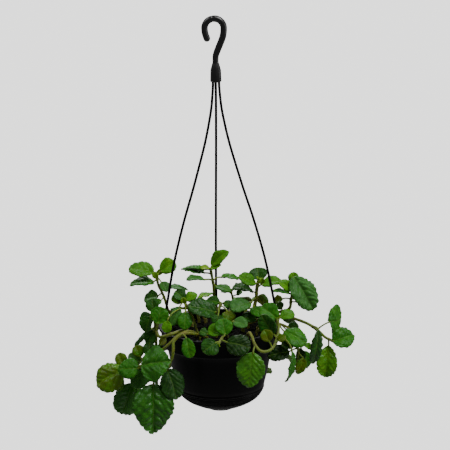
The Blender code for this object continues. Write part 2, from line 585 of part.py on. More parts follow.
def add_stalk(points, faces, start, base, axes, sizes, radius):
    """Add a four-sided stalk from start to the open edge at the blade's base."""
    axis, side, up = axes
    total, count = sizes
    run = base - start
    onset = start + run * 0.35 + Vector((0, 0, 0.12 * run.length))
    arrive = base - axis * (0.28 * run.length + STALK_TUCK)
    end = base - axis * STALK_TUCK
    spans = 3 if run.length > LONG_STALK else 2
    if run.dot(axis) < 0:
        spans = 4
    line = []
    for k in range(spans, -1, -1):
        t = k / spans
        line.append((1 - t) ** 3 * start + 3 * (1 - t) ** 2 * t * onset + 3 * (1 - t) * t * t * arrive
                    + t ** 3 * end)
    first = len(points)
    for i, centre in enumerate(line):
        along = (line[i - 1] - line[min(i + 1, spans)]).normalized() if i else axis
        side = (side - along * side.dot(along)).normalized()
        up = along.cross(side)
        points += [centre + side * radius, centre + up * radius, centre - side * radius, centre - up * radius]
    for i in range(spans):
        for k in range(4):
            a = first + 4 * i + k
            b = first + 4 * i + (k + 1) % 4
            faces.append((a, b, b + 4, a + 4))
    faces.append(tuple(first + 4 * spans + k for k in range(4)))
    right, top, left, under = range(first, first + 4)
    last = count - 1
    faces += [(top, 0, 1), (top, last, 0), (right, top, 1), (right, 1, 1 + total), (under, right, 1 + total),
              (under, 1 + total, total), (under, total, last + total), (left, under, last + total),
              (left, last + total, last), (top, left, last)]


def strip(edge, chain, flat, flip):
    """Triangles between one side's edge points and the midrib, from base to tip."""
    faces = []
    edge = [chain[0]] + edge + [chain[-1]]
    i, j = 0, 0
    while i < len(edge) - 1 or j < len(chain) - 1:
        step_edge = j == len(chain) - 1
        if i < len(edge) - 1 and j < len(chain) - 1:
            step_edge = flat[edge[i + 1]][0] <= flat[chain[j + 1]][0]
        if step_edge:
            face = (edge[i], edge[i + 1], chain[j])
            i += 1
        else:
            face = (edge[i], chain[j + 1], chain[j])
            j += 1
        if len(set(face)) == 3:
            faces.append(face if flip else face[::-1])
    return faces


def stalk_start(leaf, line, shift):
    """Where on the stem a leaf's stalk leaves it: the place that meets the blade most directly."""
    base = Vector(leaf[1]) + Vector((0, shift, 0))
    axis = (Vector(leaf[2]) - Vector(leaf[1])).normalized()
    best = None
    for step in range(-12, 13):
        place = leaf[0] + STALK_SEARCH * step / 12
        if not 0.15 <= place <= 0.99:
            continue
        start = along_curve(line, place)
        run = base - start
        bend = STALK_STRAIGHT - run.normalized().dot(axis)
        cost = max(run.length, 1) * bend + 3 * max(0, STALK_MIN - run.length)
        if best is None or cost < best[0]:
            best = (cost, start + run.normalized() * STALK_SINK)
    return best[1]


def tree(shape):
    """A shape's faces, held so that crossings with another can be found."""
    points, faces = shape
    return BVHTree.FromPolygons(points, faces)


def stem_line(shoot):
    """The stem's middle line: straight up out of its root hole, then along its route."""
    _, route, _ = shoot
    line = [Vector(p) for p in route]
    return [line[0] - Vector((0, 0, ROOT_DEPTH))] + line


def stem_shape(shoot, extra=0.0):
    """Points and faces of a stem that tapers towards its tip, grown by extra mm all round."""
    line = stem_line(shoot)
    count = len(line) - 1
    radii = [shoot[0] * (1 - STEM_TAPER * k / count) + extra for k in range(count + 1)]
    return sweep(line, radii, STEM_SIDES)


def settled_leaves(shoots, hardware):
    """For each shoot, its leaves moved in depth until they clear every other piece."""
    stems = {name: tree(stem_shape(shoot, STALK_ROOM)) for name, shoot in shoots.items()}
    placed = {name: [] for name in shoots}
    settled = {name: [] for name in shoots}
    for name, shoot in shoots.items():
        line = stem_line(shoot)[1:]
        for leaf in shoot[2]:
            others = hardware + [stems[key] for key in shoots if key != name]
            others += [form for key in shoots if key != name for form in placed[key]]
            best = None
            for shift in DEPTH_SHIFTS:
                start = stalk_start(leaf, line, shift)
                test = tree(leaf_shape(leaf, start, shift, BLADE_THICK + LEAF_ROOM, STALK_R + STALK_ROOM))
                if any(test.overlap(other) for other in others):
                    continue
                crossing = any(test.overlap(other) for other in placed[name])
                cost = abs(shift) + (CROSSING_COST if crossing else 0)
                if best is None or cost < best[0]:
                    best = (cost, shift, test)
            if best:
                settled[name].append((leaf, best[1]))
                placed[name].append(best[2])
    return settled


def rear_shoots():
    """The stems that hang over the back of the pot, in leafy pairs."""
    draw = random.Random(REAR_SEED)
    shoots = {}
    for name, (azimuth, hang) in REAR_STEMS.items():
        route = [polar(REAR_ROOT_R, azimuth, ROOT_TOP_Z), polar(62, azimuth, 6),
                 polar(REAR_OVER_R, azimuth, 6)]
        for part in (0.1, 0.45, 0.8, 1.0):
            turn = azimuth + draw.uniform(-5, 5)
            route.append(polar(REAR_OVER_R + 9 + 5 * part, turn, -hang * part))
        route = [tuple(p) for p in route]
        line = curve_through(route, 2)
        leaves = []
        for pair in range(REAR_PAIRS):
            place = 0.5 + 0.49 * pair / (REAR_PAIRS - 1)
            node = along_curve(line, place)
            for hand in (-1, 1):
                heading = azimuth + hand * draw.uniform(50, 78)
                length = draw.uniform(25, 35)
                out = polar(1, heading, 0)
                base = node + out * 12 + Vector((0, 0, 3))
                tip = base + (out * 0.85 - Vector((0, 0, draw.uniform(0.35, 0.65)))) * length
                facing = polar(0.8, azimuth + hand * 18, 0.6)
                leaves.append((place, tuple(base), tuple(tip), length * 0.9, tuple(facing), -0.12))
        shoots[name] = (1.7, route, leaves)
    return shoots


def all_shoots():
    """Every leafy stem by name: those at the front as listed, and those at the back."""
    return {**SHOOTS, **rear_shoots()}


def make_shoot(name, shoot, leaves, mat):
    """One leafy stem: the stem with its stalks and blades joined in one body."""
    points, faces = stem_shape(shoot)
    stem = object_from(name, points, faces, mat)
    line = stem_line(shoot)[1:]
    parts = []
    for leaf, shift in leaves:
        start = stalk_start(leaf, line, shift)
        points, faces = leaf_shape(leaf, start, shift)
        parts.append(object_from("piece", points, faces, mat))
    combine(stem, parts, "UNION")
    return stem


def world_tree(obj):
    """The surface of a finished object, in mm from the rim's middle."""
    offset = Vector((AXIS_X, 0, -HANG_DROP))
    points = [v.co / MM - offset for v in obj.data.vertices]
    return BVHTree.FromPolygons(points, [tuple(p.vertices) for p in obj.data.polygons])


def main():
    """Build the basket: hardware and soil first, then the leafy stems that stand clear of them."""
    clear_scene()
    plastic = material("black plastic", (0.006, 0.006, 0.007), 0.42)
    earth = material("potting soil", (0.03, 0.02, 0.013), 0.95)
    green = material("leaf", (0.07, 0.17, 0.025), 0.55)
    hardware = [make_hook(plastic), make_pot(plastic), make_saucer(plastic), make_soil(earth)]
    hardware += [make_strand(side, plastic) for side in EAR_AZIMUTHS]
    for obj in hardware:
        triangulated(obj)
        smooth(obj)
    shoots = all_shoots()
    settled = settled_leaves(shoots, [world_tree(obj) for obj in hardware])
    for name, shoot in shoots.items():
        stem = make_shoot(name, shoot, settled[name], green)
        triangulated(stem)
        smooth(stem, 50.0)


main()
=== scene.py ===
import math
import random
from functools import partial

import bmesh
import bpy
import numpy as np
from bpy.props import FloatProperty, FloatVectorProperty, IntProperty, PointerProperty
from mathutils import Matrix, Vector, noise
from mathutils.kdtree import KDTree


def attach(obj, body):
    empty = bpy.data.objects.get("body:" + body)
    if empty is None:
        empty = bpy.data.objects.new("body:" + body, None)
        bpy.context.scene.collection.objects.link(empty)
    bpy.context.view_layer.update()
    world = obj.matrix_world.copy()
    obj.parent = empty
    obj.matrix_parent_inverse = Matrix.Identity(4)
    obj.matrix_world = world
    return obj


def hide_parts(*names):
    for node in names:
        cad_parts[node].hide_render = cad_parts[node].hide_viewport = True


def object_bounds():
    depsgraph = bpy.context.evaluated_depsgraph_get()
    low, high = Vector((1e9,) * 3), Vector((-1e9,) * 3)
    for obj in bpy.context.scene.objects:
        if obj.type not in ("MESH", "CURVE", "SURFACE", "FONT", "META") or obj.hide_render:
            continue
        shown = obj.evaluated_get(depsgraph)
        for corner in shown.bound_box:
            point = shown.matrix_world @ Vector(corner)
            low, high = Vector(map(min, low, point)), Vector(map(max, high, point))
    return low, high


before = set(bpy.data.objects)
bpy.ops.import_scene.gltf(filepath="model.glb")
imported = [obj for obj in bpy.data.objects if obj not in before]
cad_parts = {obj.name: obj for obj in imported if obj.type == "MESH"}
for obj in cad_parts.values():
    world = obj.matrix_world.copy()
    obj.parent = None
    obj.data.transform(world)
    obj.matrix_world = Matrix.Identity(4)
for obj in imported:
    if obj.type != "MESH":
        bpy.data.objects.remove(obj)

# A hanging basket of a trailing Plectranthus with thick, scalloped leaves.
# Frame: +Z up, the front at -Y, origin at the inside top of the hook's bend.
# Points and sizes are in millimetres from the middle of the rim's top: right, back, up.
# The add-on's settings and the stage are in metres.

bl_info = {
    "name": "Hanging Plectranthus basket",
    "version": (1, 0, 0),
    "blender": (4, 5, 0),
    "location": "View3D > Sidebar > Basket",
    "description": "Builds a black hanging basket with a trailing, thick-leaved plant",
    "category": "Add Mesh",
}

CAD_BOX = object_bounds()
BODY = "root"
MM = 0.001
GAP = 0.3

# Where the rim's middle lies in the frame
HANG_DROP = 378.0
AXIS_X = 1.2

# Heights and radii of the hardware, as in the solids
COLLAR_BOTTOM = 305.4
SOCKET_DEPTH = 11.0
STRAND_RING_R = 4.2
EAR_AZIMUTHS = {"right": -27.0, "back": 93.0, "left": 213.0}
EAR_REACH = 76.8
EAR_HOLE_R = 2.4
EAR_OUTER_R = 4.6
CLIP_TOP = 32.0
LIP_THICK = 3.2
BAND_DEPTH = 22.5
POT_STEP_Z = -77.0
POT_BASE_Z = -84.4
SAUCER_TOP_Z = POT_STEP_Z - GAP
FOOT_Z = -107.8
DRAINS = 5
DRAIN_RING_R = 32.0
MOULD_LINE = 0.35
HOOK_ARC = (-5.0, 187.0)

# Fineness of the hardware's meshes: sides of a tube and steps to a span of its line
HOOK_SIDES = 28
HOOK_STEPS = 6
ARC_STEPS = 10
COLLAR_FACETS = 8
STRAND_SIDES = 14
STRAND_STEPS = 8
SOCKET_SIDES = 20
EAR_SIDES = 40
HOLE_SIDES = 28

# Soil and roots
SOIL_EDGE_Z = -10.0
SOIL_RISE = 3.5
SOIL_BOWL_R = 70.0
SOIL_RINGS = 34
SOIL_STEPS = 120
SOIL_SEED = 11
ROOT_DEPTH = 20.0
ROOT_TOP_Z = -3.0

# How the solids' leaves were set: blade, stalk and the moves in depth that were tried
BLADE_THICK = 0.9
BLADE_CUP = 0.9
BLADE_ARCH = 0.28
STALK_TUCK = 1.2
STALK_SINK = 0.4
STALK_MIN = 6.0
STALK_SEARCH = 0.24
STALK_STRAIGHT = 1.35
STEM_TAPER = 0.25
THIN_STEM = 1.7
DEPTH_SHIFTS = (0, -2, 2, -4, 4, -6, 6, -9, 9, -12, 12, -15, 15, -19, 19)

# The drawn blades and stems: width against the solids', bulge of the rim, and fineness of the meshes
BLADE_SPREAD = 1.05
RIM_BULGE = 0.28
MARGIN_POINTS = 500
TOOTH_POINTS = 6
STALK_SPANS = 9
STALK_SIDES = 8
STEM_STEPS = 7
STEM_SIDES = 12
JOINT_REACH = 9.0
BUD_SEED = 77

# Leafy stems: radius, points along the stem, then the leaves.
# A leaf is: place along the stem 0 to 1, blade base, blade tip, width,
# direction its upper face looks, rise of its sides towards that face.
SHOOTS = {
    "top_left": (1.9, [(-39, -14, -3), (-54, -14, 9), (-63, -15, 24), (-68, -15, 41), (-75, -13, 57),
                       (-76, -12, 67)], [
        (0.93, (-80, -11, 71), (-111, -6, 76), 25, (-0.2, -0.5, 0.9), 0.15),
        (0.93, (-72, -13, 73), (-53, -8, 83), 20, (0.1, -0.8, 0.6), 0.30),
        (0.80, (-80, -14, 60), (-110, -16, 58), 24, (0.0, -0.2, 1.0), 0.10),
        (0.99, (-76, -12, 66), (-79, -12, 75), 8, (-0.3, -0.8, 0.5), 0.40),
        (0.99, (-76, -12, 66), (-72, -13, 74), 8, (0.5, -0.7, 0.5), 0.40),
        (0.74, (-71, -18, 61), (-64, -24, 50), 15, (0.5, -0.7, 0.5), 0.30),
        (0.70, (-64, -12, 52), (-38, -7, 47), 19, (0.1, 0.0, 1.0), 0.15),
        (0.62, (-75, -17, 43), (-93, -14, 37), 21, (-0.1, -0.4, 0.9), 0.20),
        (0.55, (-71, -22, 40), (-79, -24, 36), 10, (-0.2, -0.6, 0.8), 0.30),
    ]),
    "side_left": (1.6, [(-29, -24, -3), (-44, -40, 5), (-57, -52, 4.5), (-72, -53, 1), (-77, -48, 7),
                        (-79, -41, 18), (-80, -36, 28)], [
        (0.97, (-80, -34, 28), (-82, -26, 43), 17, (-0.3, -0.8, 0.5), 0.25),
        (0.90, (-84, -41, 24), (-90, -43, 4), 20, (-0.6, -0.7, 0.4), 0.30),
        (0.88, (-84, -30, 22), (-98, -24, 9), 21, (-0.6, -0.5, 0.6), 0.20),
        (0.62, (-80, -47, 6), (-88, -44, -13), 19, (-0.5, -0.8, 0.4), 0.30),
        (0.86, (-75, -42, 17), (-71, -36, 37), 22, (0.2, -0.9, 0.5), 0.10),
        (0.45, (-66, -54, 0), (-73, -58, -8), 9, (0.3, -0.7, 0.7), 0.30),
    ]),
    "trail_left": (1.9, [(-24, -30, -3), (-38, -48, 6), (-50, -61, 5), (-60, -66, -3), (-70, -65, -12),
                         (-83, -60, -23), (-94, -55, -35), (-108, -48, -42), (-122, -41, -48)], [
        (0.72, (-97, -50, -25), (-103, -44, -12), 15, (-0.2, -0.7, 0.7), 0.25),
        (0.80, (-98, -48, -32), (-112, -40, -24), 15, (-0.3, -0.6, 0.8), 0.20),
        (0.95, (-116, -40, -40), (-126, -33, -25), 15, (-0.3, -0.8, 0.6), 0.25),
        (0.78, (-99, -57, -35), (-125, -54, -36), 26, (-0.1, -0.8, 0.6), -0.12),
        (0.97, (-119, -42, -41), (-153, -36, -61), 37, (-0.2, -0.8, 0.6), -0.12),
        (0.99, (-122, -44, -51), (-127, -47, -69), 17, (-0.3, -0.8, 0.5), 0.35),
        (0.82, (-88, -58, -41), (-109, -60, -58), 27, (-0.2, -0.7, 0.7), -0.15),
        (0.86, (-107, -50, -60), (-122, -46, -101), 33, (-0.2, -0.9, 0.4), 0.15),
        (0.80, (-95, -72, -29), (-60, -84, -20), 44, (0.1, -0.8, 0.6), -0.12),
        (0.70, (-86, -52, -22), (-86, -45, -7), 16, (0.0, -0.8, 0.6), 0.15),
    ]),
    "trail_front_left": (1.5, [(-16, -42, -3), (-32, -58, 6), (-45, -66, 8), (-55, -71, 1), (-56, -75, -8),
                               (-57, -76, -17), (-60, -76, -24), (-65, -77, -34), (-79, -78, -45)], [
        (0.78, (-64, -78, -32), (-53, -82, -69), 30, (0.3, -0.8, 0.4), -0.12),
        (0.99, (-81, -79, -50), (-82, -88, -112), 48, (0.1, -0.9, 0.4), -0.12),
        (0.25, (-40, -78, 7), (-35, -86, -16), 16, (-0.1, -0.9, 0.5), 0.20),
    ]),
    "top_centre": (1.5, [(2, 16, -3), (-4, 14, 13), (-6, 12, 31), (-7, 10, 49), (-10, 8, 69)], [
        (0.98, (-9, 8, 74), (12, 4, 94), 17, (-0.3, -0.8, 0.6), 0.30),
        (0.95, (-10, 4, 71), (3, 0, 77), 11, (0.1, -0.5, 0.8), 0.30),
        (0.97, (-11, 5, 72), (-22, 0, 73), 10, (-0.1, -0.4, 0.9), 0.30),
        (0.93, (-18, 9, 69), (-42, 12, 71), 17, (0.0, 0.0, 1.0), 0.10),
        (0.72, (-18, 12, 64), (-47, 18, 67), 24, (0.0, 0.0, 1.0), 0.10),
        (0.55, (-18, -6, 60), (-40, -12, 62), 19, (0.0, -0.1, 1.0), 0.15),
        (0.68, (-5, 4, 49), (15, -4, 43), 17, (0.1, -0.2, 1.0), 0.15),
        (0.75, (3, 16, 54), (25, 20, 51), 20, (0.0, -0.1, 1.0), 0.12),
    ]),
    "thin_centre": (1.1, [(18, 26, -3), (17, 24, 15), (17, 22, 27), (15, 20, 38)], [
        (0.97, (19, 21, 41), (28, 24, 43), 12, (0.1, -0.6, 0.8), 0.20),
        (0.75, (22, 20, 33), (29, 20, 37), 9, (0.1, -0.4, 0.9), 0.20),
        (0.95, (12, 24, 36), (4, 32, 36), 12, (-0.2, -0.4, 0.9), 0.20),
    ]),
    "top_right_of_centre": (1.7, [(29, -8, -3), (37, -7, 8), (45, -6, 30), (47, -6, 48), (49, -7, 59)], [
        (0.97, (50, -1, 57), (48, 8, 71), 22, (0.1, -0.9, 0.5), 0.10),
        (0.95, (46, -9, 56), (24, -14, 66), 18, (-0.1, -0.6, 0.8), 0.15),
        (0.93, (53, -6, 53), (78, -5, 58), 19, (0.1, -0.4, 0.9), 0.20),
        (0.99, (52, -12, 58), (53, -16, 66), 9, (0.2, -0.7, 0.7), 0.40),
        (0.80, (43, 0, 42), (17, 2, 49), 26, (0.0, -0.1, 1.0), 0.15),
        (0.62, (39, -18, 33), (15, -32, 28), 25, (-0.1, -0.5, 0.9), 0.15),
        (0.55, (42, -14, 26), (56, -32, 17), 21, (0.2, -0.6, 0.8), 0.15),
        (0.70, (47, -2, 34), (62, 2, 25), 16, (0.3, -0.7, 0.7), 0.15),
        (0.66, (41, 6, 29), (21, 12, 22), 17, (0.0, -0.5, 0.8), 0.15),
        (0.50, (46, -21, 12), (27, -24, 16), 15, (0.0, -0.6, 0.8), 0.15),
    ]),
    "top_right": (1.6, [(36, 12, -3), (56, 9, 6), (74, 0, 15), (87, -8, 22), (89, -12, 35), (92, -12, 49)], [
        (0.93, (92, -16, 65), (116, -25, 24), 33, (0.3, -0.85, 0.35), 0.12),
        (0.95, (90, -15, 49), (74, -18, 60), 16, (-0.1, -0.6, 0.8), 0.25),
        (0.86, (88, -17, 44), (67, -24, 49), 20, (0.0, 0.0, 1.0), 0.10),
        (0.99, (92, -15, 47), (98, -18, 54), 11, (-0.2, -0.8, 0.6), 0.40),
        (0.72, (94, -18, 33), (104, -18, 39), 10, (0.1, -0.6, 0.8), 0.20),
        (0.60, (79, -2, 33), (68, 2, 27), 13, (-0.1, -0.6, 0.8), 0.20),
        (0.52, (78, -7, 21), (73, -10, 30), 10, (0.0, -0.8, 0.6), 0.20),
        (0.97, (92, -8, 54), (93, -5, 68), 13, (-0.3, -0.9, 0.3), 0.20),
    ]),
    "front_right": (2.2, [(33, -46, -3), (36, -58, 6), (39, -68, 5), (43, -77, -4), (50, -82, -10),
                          (59, -81, -10), (66, -75, -5), (70, -67, 3), (72, -59, 11), (71, -54, 21)], [
        (0.99, (71, -53, 21), (52, -45, 36), 23, (-0.2, -0.7, 0.7), 0.15),
        (0.98, (74, -54, 24), (92, -50, 27), 16, (0.2, -0.5, 0.8), 0.20),
        (0.84, (66, -64, 5), (51, -62, 30), 21, (-0.4, -0.8, 0.4), 0.20),
        (0.66, (88, -68, -15), (81, -72, -53), 22, (1.0, -0.3, 0.1), 0.10),
        (0.36, (40, -86, -10), (34, -96, -52), 34, (0.0, -0.9, 0.5), -0.12),
        (0.70, (60, -79, 1), (54, -76, 15), 15, (-0.1, -0.9, 0.5), 0.20),
        (0.80, (71, -64, 0), (80, -62, 6), 10, (0.2, -0.6, 0.7), 0.20),
    ]),
    "side_right": (1.9, [(46, -20, -3), (63, -17, 4.5), (79, -21, 4.5), (90, -26, -3), (94, -30, -15),
                         (97, -30, -29), (95, -30, -41)], [
        (0.55, (79, -32, 0), (107, -42, -13), 28, (0.1, -0.6, 0.8), -0.12),
        (0.50, (84, -14, -4), (98, -8, 1), 12, (0.1, -0.6, 0.8), 0.20),
        (0.90, (86, -36, -25), (59, -42, -29), 21, (-0.1, -0.8, 0.6), 0.20),
        (0.70, (91, -38, -14), (76, -44, -15), 16, (-0.1, -0.7, 0.7), 0.20),
        (0.88, (98, -26, -24), (97, -22, -50), 16, (0.6, -0.7, 0.3), 0.20),
        (0.99, (103, -32, -35), (95, -34, -55), 15, (0.5, -0.8, 0.3), 0.20),
        (0.92, (103, -20, -32), (111, -14, -55), 17, (0.8, -0.6, 0.3), 0.20),
        (0.66, (104, -28, -19), (115, -26, -25), 10, (0.1, -0.5, 0.8), 0.20),
    ]),
    "far_right": (1.6, [(48, -4, -3), (66, -6, 9), (81, -6, 12), (94, -6, 8), (110, -8, 2), (123, -9, -7),
                        (131, -9, -15), (138, -9, -19)], [
        (0.72, (137, -8, 4), (154, 18, 0), 40, (0.9, -0.5, 0.05), -0.12),
        (0.98, (140, -13, -20), (169, -4, -14), 27, (0.15, -0.8, 0.6), 0.15),
        (0.98, (136, -6, -27), (132, -14, -66), 25, (-0.1, -0.9, 0.3), 0.40),
        (0.80, (122, -22, 0), (115, -24, -44), 15, (0.3, -0.9, 0.1), 0.08),
    ]),
    "inner_left": (1.8, [(-24, -40, -3), (-28, -38, 5), (-32, -30, 17), (-38, -26, 28), (-43, -24, 38)], [
        (0.90, (-43, -16, 40), (-54, -9, 49), 17, (-0.1, -0.6, 0.8), 0.15),
        (0.95, (-46, -27, 38), (-59, -32, 40), 14, (-0.1, -0.8, 0.6), 0.15),
        (0.97, (-41, -24, 39), (-27, -20, 46), 13, (0.1, -0.6, 0.8), 0.20),
        (0.80, (-32, -15, 34), (-16, -9, 36), 15, (0.1, -0.3, 1.0), 0.15),
        (0.99, (-43, -28, 38), (-44, -30, 46), 7, (-0.1, -0.9, 0.5), 0.40),
        (0.85, (-49, -36, 33), (-60, -46, 13), 15, (0.5, -0.7, 0.5), 0.20),
        (0.75, (-41, -40, 28), (-43, -50, 9), 18, (0.1, -0.8, 0.6), -0.12),
        (0.60, (-63, -58, 23), (-65, -62, 9), 12, (0.1, -0.8, 0.5), 0.20),
    ]),
    "inner_centre": (1.6, [(-4, -30, -3), (-3, -26, 10), (-2, -24, 23), (2, -20, 32)], [
        (0.70, (-4, -32, 25), (-38, -38, 35), 28, (0.0, -0.6, 0.8), 0.12),
        (0.98, (1, -14, 32), (-16, -10, 34), 15, (0.0, -0.6, 0.8), 0.20),
        (0.98, (5, -16, 33), (15, -18, 28), 13, (0.2, -0.6, 0.7), 0.20),
        (0.60, (-1, -34, 25), (-3, -40, 13), 16, (0.0, -0.7, 0.7), 0.20),
        (0.80, (10, -30, 26), (12, -38, 14), 17, (0.1, -0.7, 0.7), 0.20),
    ]),
    "front_centre": (2.0, [(9, -40, -3), (8, -56, 6), (5, -68, 6.5), (3, -76, 5.5), (-1, -84, 1)], [
        (0.98, (-4, -86, 3), (-20, -92, -7), 24, (-0.1, -0.8, 0.6), -0.12),
        (0.85, (8, -86, 2), (37, -93, -3), 28, (0.1, -0.8, 0.6), -0.12),
        (0.66, (5, -67, 11), (-14, -67, 11), 17, (-0.1, -0.7, 0.7), 0.20),
        (0.60, (7, -64, 8), (4, -54, 26), 21, (0.1, -0.8, 0.6), 0.20),
        (0.55, (-14, -58, 4), (-24, -56, 8), 12, (-0.1, -0.6, 0.8), 0.20),
        (0.40, (17, -46, 18), (34, -52, 13), 17, (0.1, -0.6, 0.8), 0.20),
    ]),
    "back_left": (1.5, [(-26, 36, -3), (-29, 39, 6), (-34, 44, 17)], [
        (0.98, (-36, 45, 18), (-58, 52, 20), 22, (-0.2, 0.2, 1.0), 0.15),
        (0.96, (-28, 48, 20), (-9, 57, 26), 20, (0.2, 0.2, 1.0), 0.15),
        (0.75, (-28, 36, 16), (-12, 24, 18), 17, (0.1, -0.2, 1.0), 0.15),
        (0.60, (-42, 40, 10), (-62, 34, 10), 17, (-0.3, 0.1, 0.9), 0.15),
    ]),
    "back_right": (1.5, [(30, 34, -3), (33, 38, 6), (37, 45, 16)], [
        (0.98, (40, 47, 17), (62, 52, 19), 22, (0.2, 0.2, 1.0), 0.15),
        (0.96, (33, 50, 17), (20, 68, 19), 21, (-0.2, 0.4, 0.9), 0.15),
        (0.60, (44, 38, 10), (62, 28, 12), 17, (0.3, 0.0, 0.9), 0.15),
    ]),
}

# Stems that trail over the back, which follow one rule: azimuth and length of the hanging run
REAR_STEMS = {"rear_1": (45.0, 60.0), "rear_2": (75.0, 86.0),
              "rear_3": (116.0, 72.0), "rear_4": (150.0, 88.0)}
REAR_RADIUS = 1.7
REAR_ROOT_R = 40.0
REAR_RISE_R = 62.0
REAR_RISE_Z = 6.0
REAR_OVER_R = 79.0
REAR_PAIRS = 3
REAR_SEED = 7

# How each leaf looks, one letter a leaf in the order above:
# y young, b bright, h nearly grown, m grown, d dark, k darkest, o olive, w yellowing,
# g grey with hairs and painted sheen, r browned.
# The dark and darkest letters on leaves deep in the mass and at the front are partly painted shade, where
# other leaves shadow them.
LEAF_LOOKS = {
    "top_left": "hbmyygggm", "side_left": "ddddmr", "trail_left": "ogwmwwgmmd", "trail_front_left": "dmm",
    "top_centre": "bbymmggm", "thin_centre": "dmm", "top_right_of_centre": "dhhydgmood",
    "top_right": "gbmyoodb", "front_right": "mhdmhoo", "side_right": "mdkkkomb", "far_right": "mmbd",
    "inner_left": "dbbgygmb", "inner_centre": "ddddo", "front_centre": "dkhmdg",
    "back_left": "mbmm", "back_right": "mbm", "rear": "ddmdbm",
}
# Age from young to old, the darker end partly painted shade on shadowed leaves, how olive, and how grey with
# hairs and painted sheen
LOOKS = {"y": (0.0, 0.1, 0.0), "b": (0.22, 0.05, 0.0), "h": (0.36, 0.1, 0.0), "m": (0.5, 0.0, 0.05),
         "d": (0.76, 0.0, 0.05), "k": (1.0, 0.0, 0.0), "o": (0.5, 0.75, 0.0), "w": (0.28, 0.6, 0.0),
         "g": (0.52, 0.0, 0.85), "r": (0.7, 1.0, 0.2)}

# What the leaf and stem finishes read at each point: kind of layer, its field and its width.
# blade is the place on the blade: along and across in mm, phase of the side veins, part of the way out.
# look is age (on leaves, partly painted shade where other leaves shadow them), how olive, a number of the
# leaf's own and the side veins' spacing in mm;
# on stems it is age and closeness to a joint.
# skin is the side (0 upper, 1 lower), how grey with hairs and painted sheen, and how large and bare the leaf
# is.
LAYERS = {"blade": ("FLOAT_COLOR", "color", 4), "look": ("FLOAT_COLOR", "color", 4),
          "skin": ("FLOAT_VECTOR", "vector", 3)}
BLADE_SLOT, STEM_SLOT = 0, 1

# Square soft lights: place, and length of a side. All of them look at the leaves' middle.
LIGHTS = {"key": ((0.95, -0.65, 1.6), 1.1), "side": ((1.9, -0.3, 0.1), 1.1),
          "left": ((-1.15, -0.5, 1.25), 0.7), "back": ((-0.3, 1.9, 1.2), 1.2)}
LIGHT_AIM = (0, 0, -0.4)
CAMERA_PLACE = (0.0098, -2.0435, 0.2178)

# Inputs and settings for mixing two colours. Where a value is mapped from one range to another,
# its inputs are given in order: value, from low, from high, to low, to high.
MIX_A, MIX_B = 6, 7
MIXED = {"data_type": "RGBA"}
MULTIPLIED = {"data_type": "RGBA", "blend_type": "MULTIPLY"}


def colour(code):
    """A web colour such as 0x2B5A12, from sRGB to linear."""
    parts = [(code >> shift & 255) / 255 for shift in (16, 8, 0)]
    return tuple(c / 12.92 if c <= 0.04045 else ((c + 0.055) / 1.055) ** 2.4 for c in parts)


def number(name, description, default, low=0.0, **more):
    """A number property with its lowest value."""
    return FloatProperty(name=name, description=description, default=default, min=low, **more)


def length(name, description, mm):
    """A length property whose default is in millimetres."""
    return number(name, description, mm * MM, unit="LENGTH", precision=5)


def tint(name, description, code):
    """A colour property whose default is a web colour."""
    return FloatVectorProperty(name=name, description=description, default=colour(code), size=3,
                               min=0.0, max=1.0, subtype="COLOR")


class HangerSizes(bpy.types.PropertyGroup):
    """The hook and its strands."""
    rod_radius: length("Rod radius", "Radius of the hook's rod", 4.06)
    neck_radius: length("Neck radius", "Radius of the rod above the collar", 3.75)
    bend_radius: length("Bend radius", "Radius of the rod's middle line round the bend", 11.6)
    collar_radius: length("Collar radius", "Radius of the faceted collar", 7.0)
    strand_radius: length("Strand radius", "Radius of each strand", 1.6)
    clip_radius: length("Clip radius", "Radius of the thicker foot of each strand", 1.9)
    barb_radius: length("Barb radius", "Radius of the barb under each ear", 2.9)


class PotSizes(bpy.types.PropertyGroup):
    """The pot and its saucer."""
    lip_radius: length("Lip radius", "Radius of the pot's rim", 76.0)
    band_radius: length("Band radius", "Radius of the plain band under the lip", 73.0)
    wall: length("Wall", "Thickness of the moulded walls", 1.6)
    drain_radius: length("Drainage hole radius", "Radius of the holes in the base", 4.0)
    saucer_radius: length("Saucer radius", "Radius of the saucer's top", 55.0)
    ring_depth: length("Ring depth", "Depth of the fine rings round the saucer", 0.45)
    steps: IntProperty(name="Steps", description="Steps round each turned piece", default=144, min=24)


class LeafSizes(bpy.types.PropertyGroup):
    """The blades, their teeth and their relief."""
    thickness: length("Thickness", "Thickness of a grown blade", 1.25)
    tooth: length("Tooth", "Length of one rounded tooth along the edge", 5.0)
    tooth_depth: length("Tooth depth", "Height of a tooth", 1.95)
    relief: length("Relief", "How far the blade swells between side veins, on a large leaf", 1.25)
    pucker: length("Pucker", "Height of the uneven puckering", 0.55)
    groove: length("Groove", "Depth of the midrib's groove", 0.35)
    wave: number("Wave", "Slow waves against the width", 0.05)
    fold: number("Fold", "Rise of each half from the midrib, as a share of the width", 0.055)
    stalk_radius: length("Stalk radius", "Radius of a leaf stalk", 1.3)
    swelling: number("Stem swelling", "How much fuller the thin stems are than the solids'", 1.45, 0.5)


class SoilSizes(bpy.types.PropertyGroup):
    """The soil's lumps and crumbs."""
    lump: length("Lump", "Height of the surface lumps", 1.4)
    crumb: length("Crumb", "Mean radius of the loose crumbs", 1.3)
    crumbs: IntProperty(name="Crumbs", description="Number of loose crumbs", default=420, min=0)


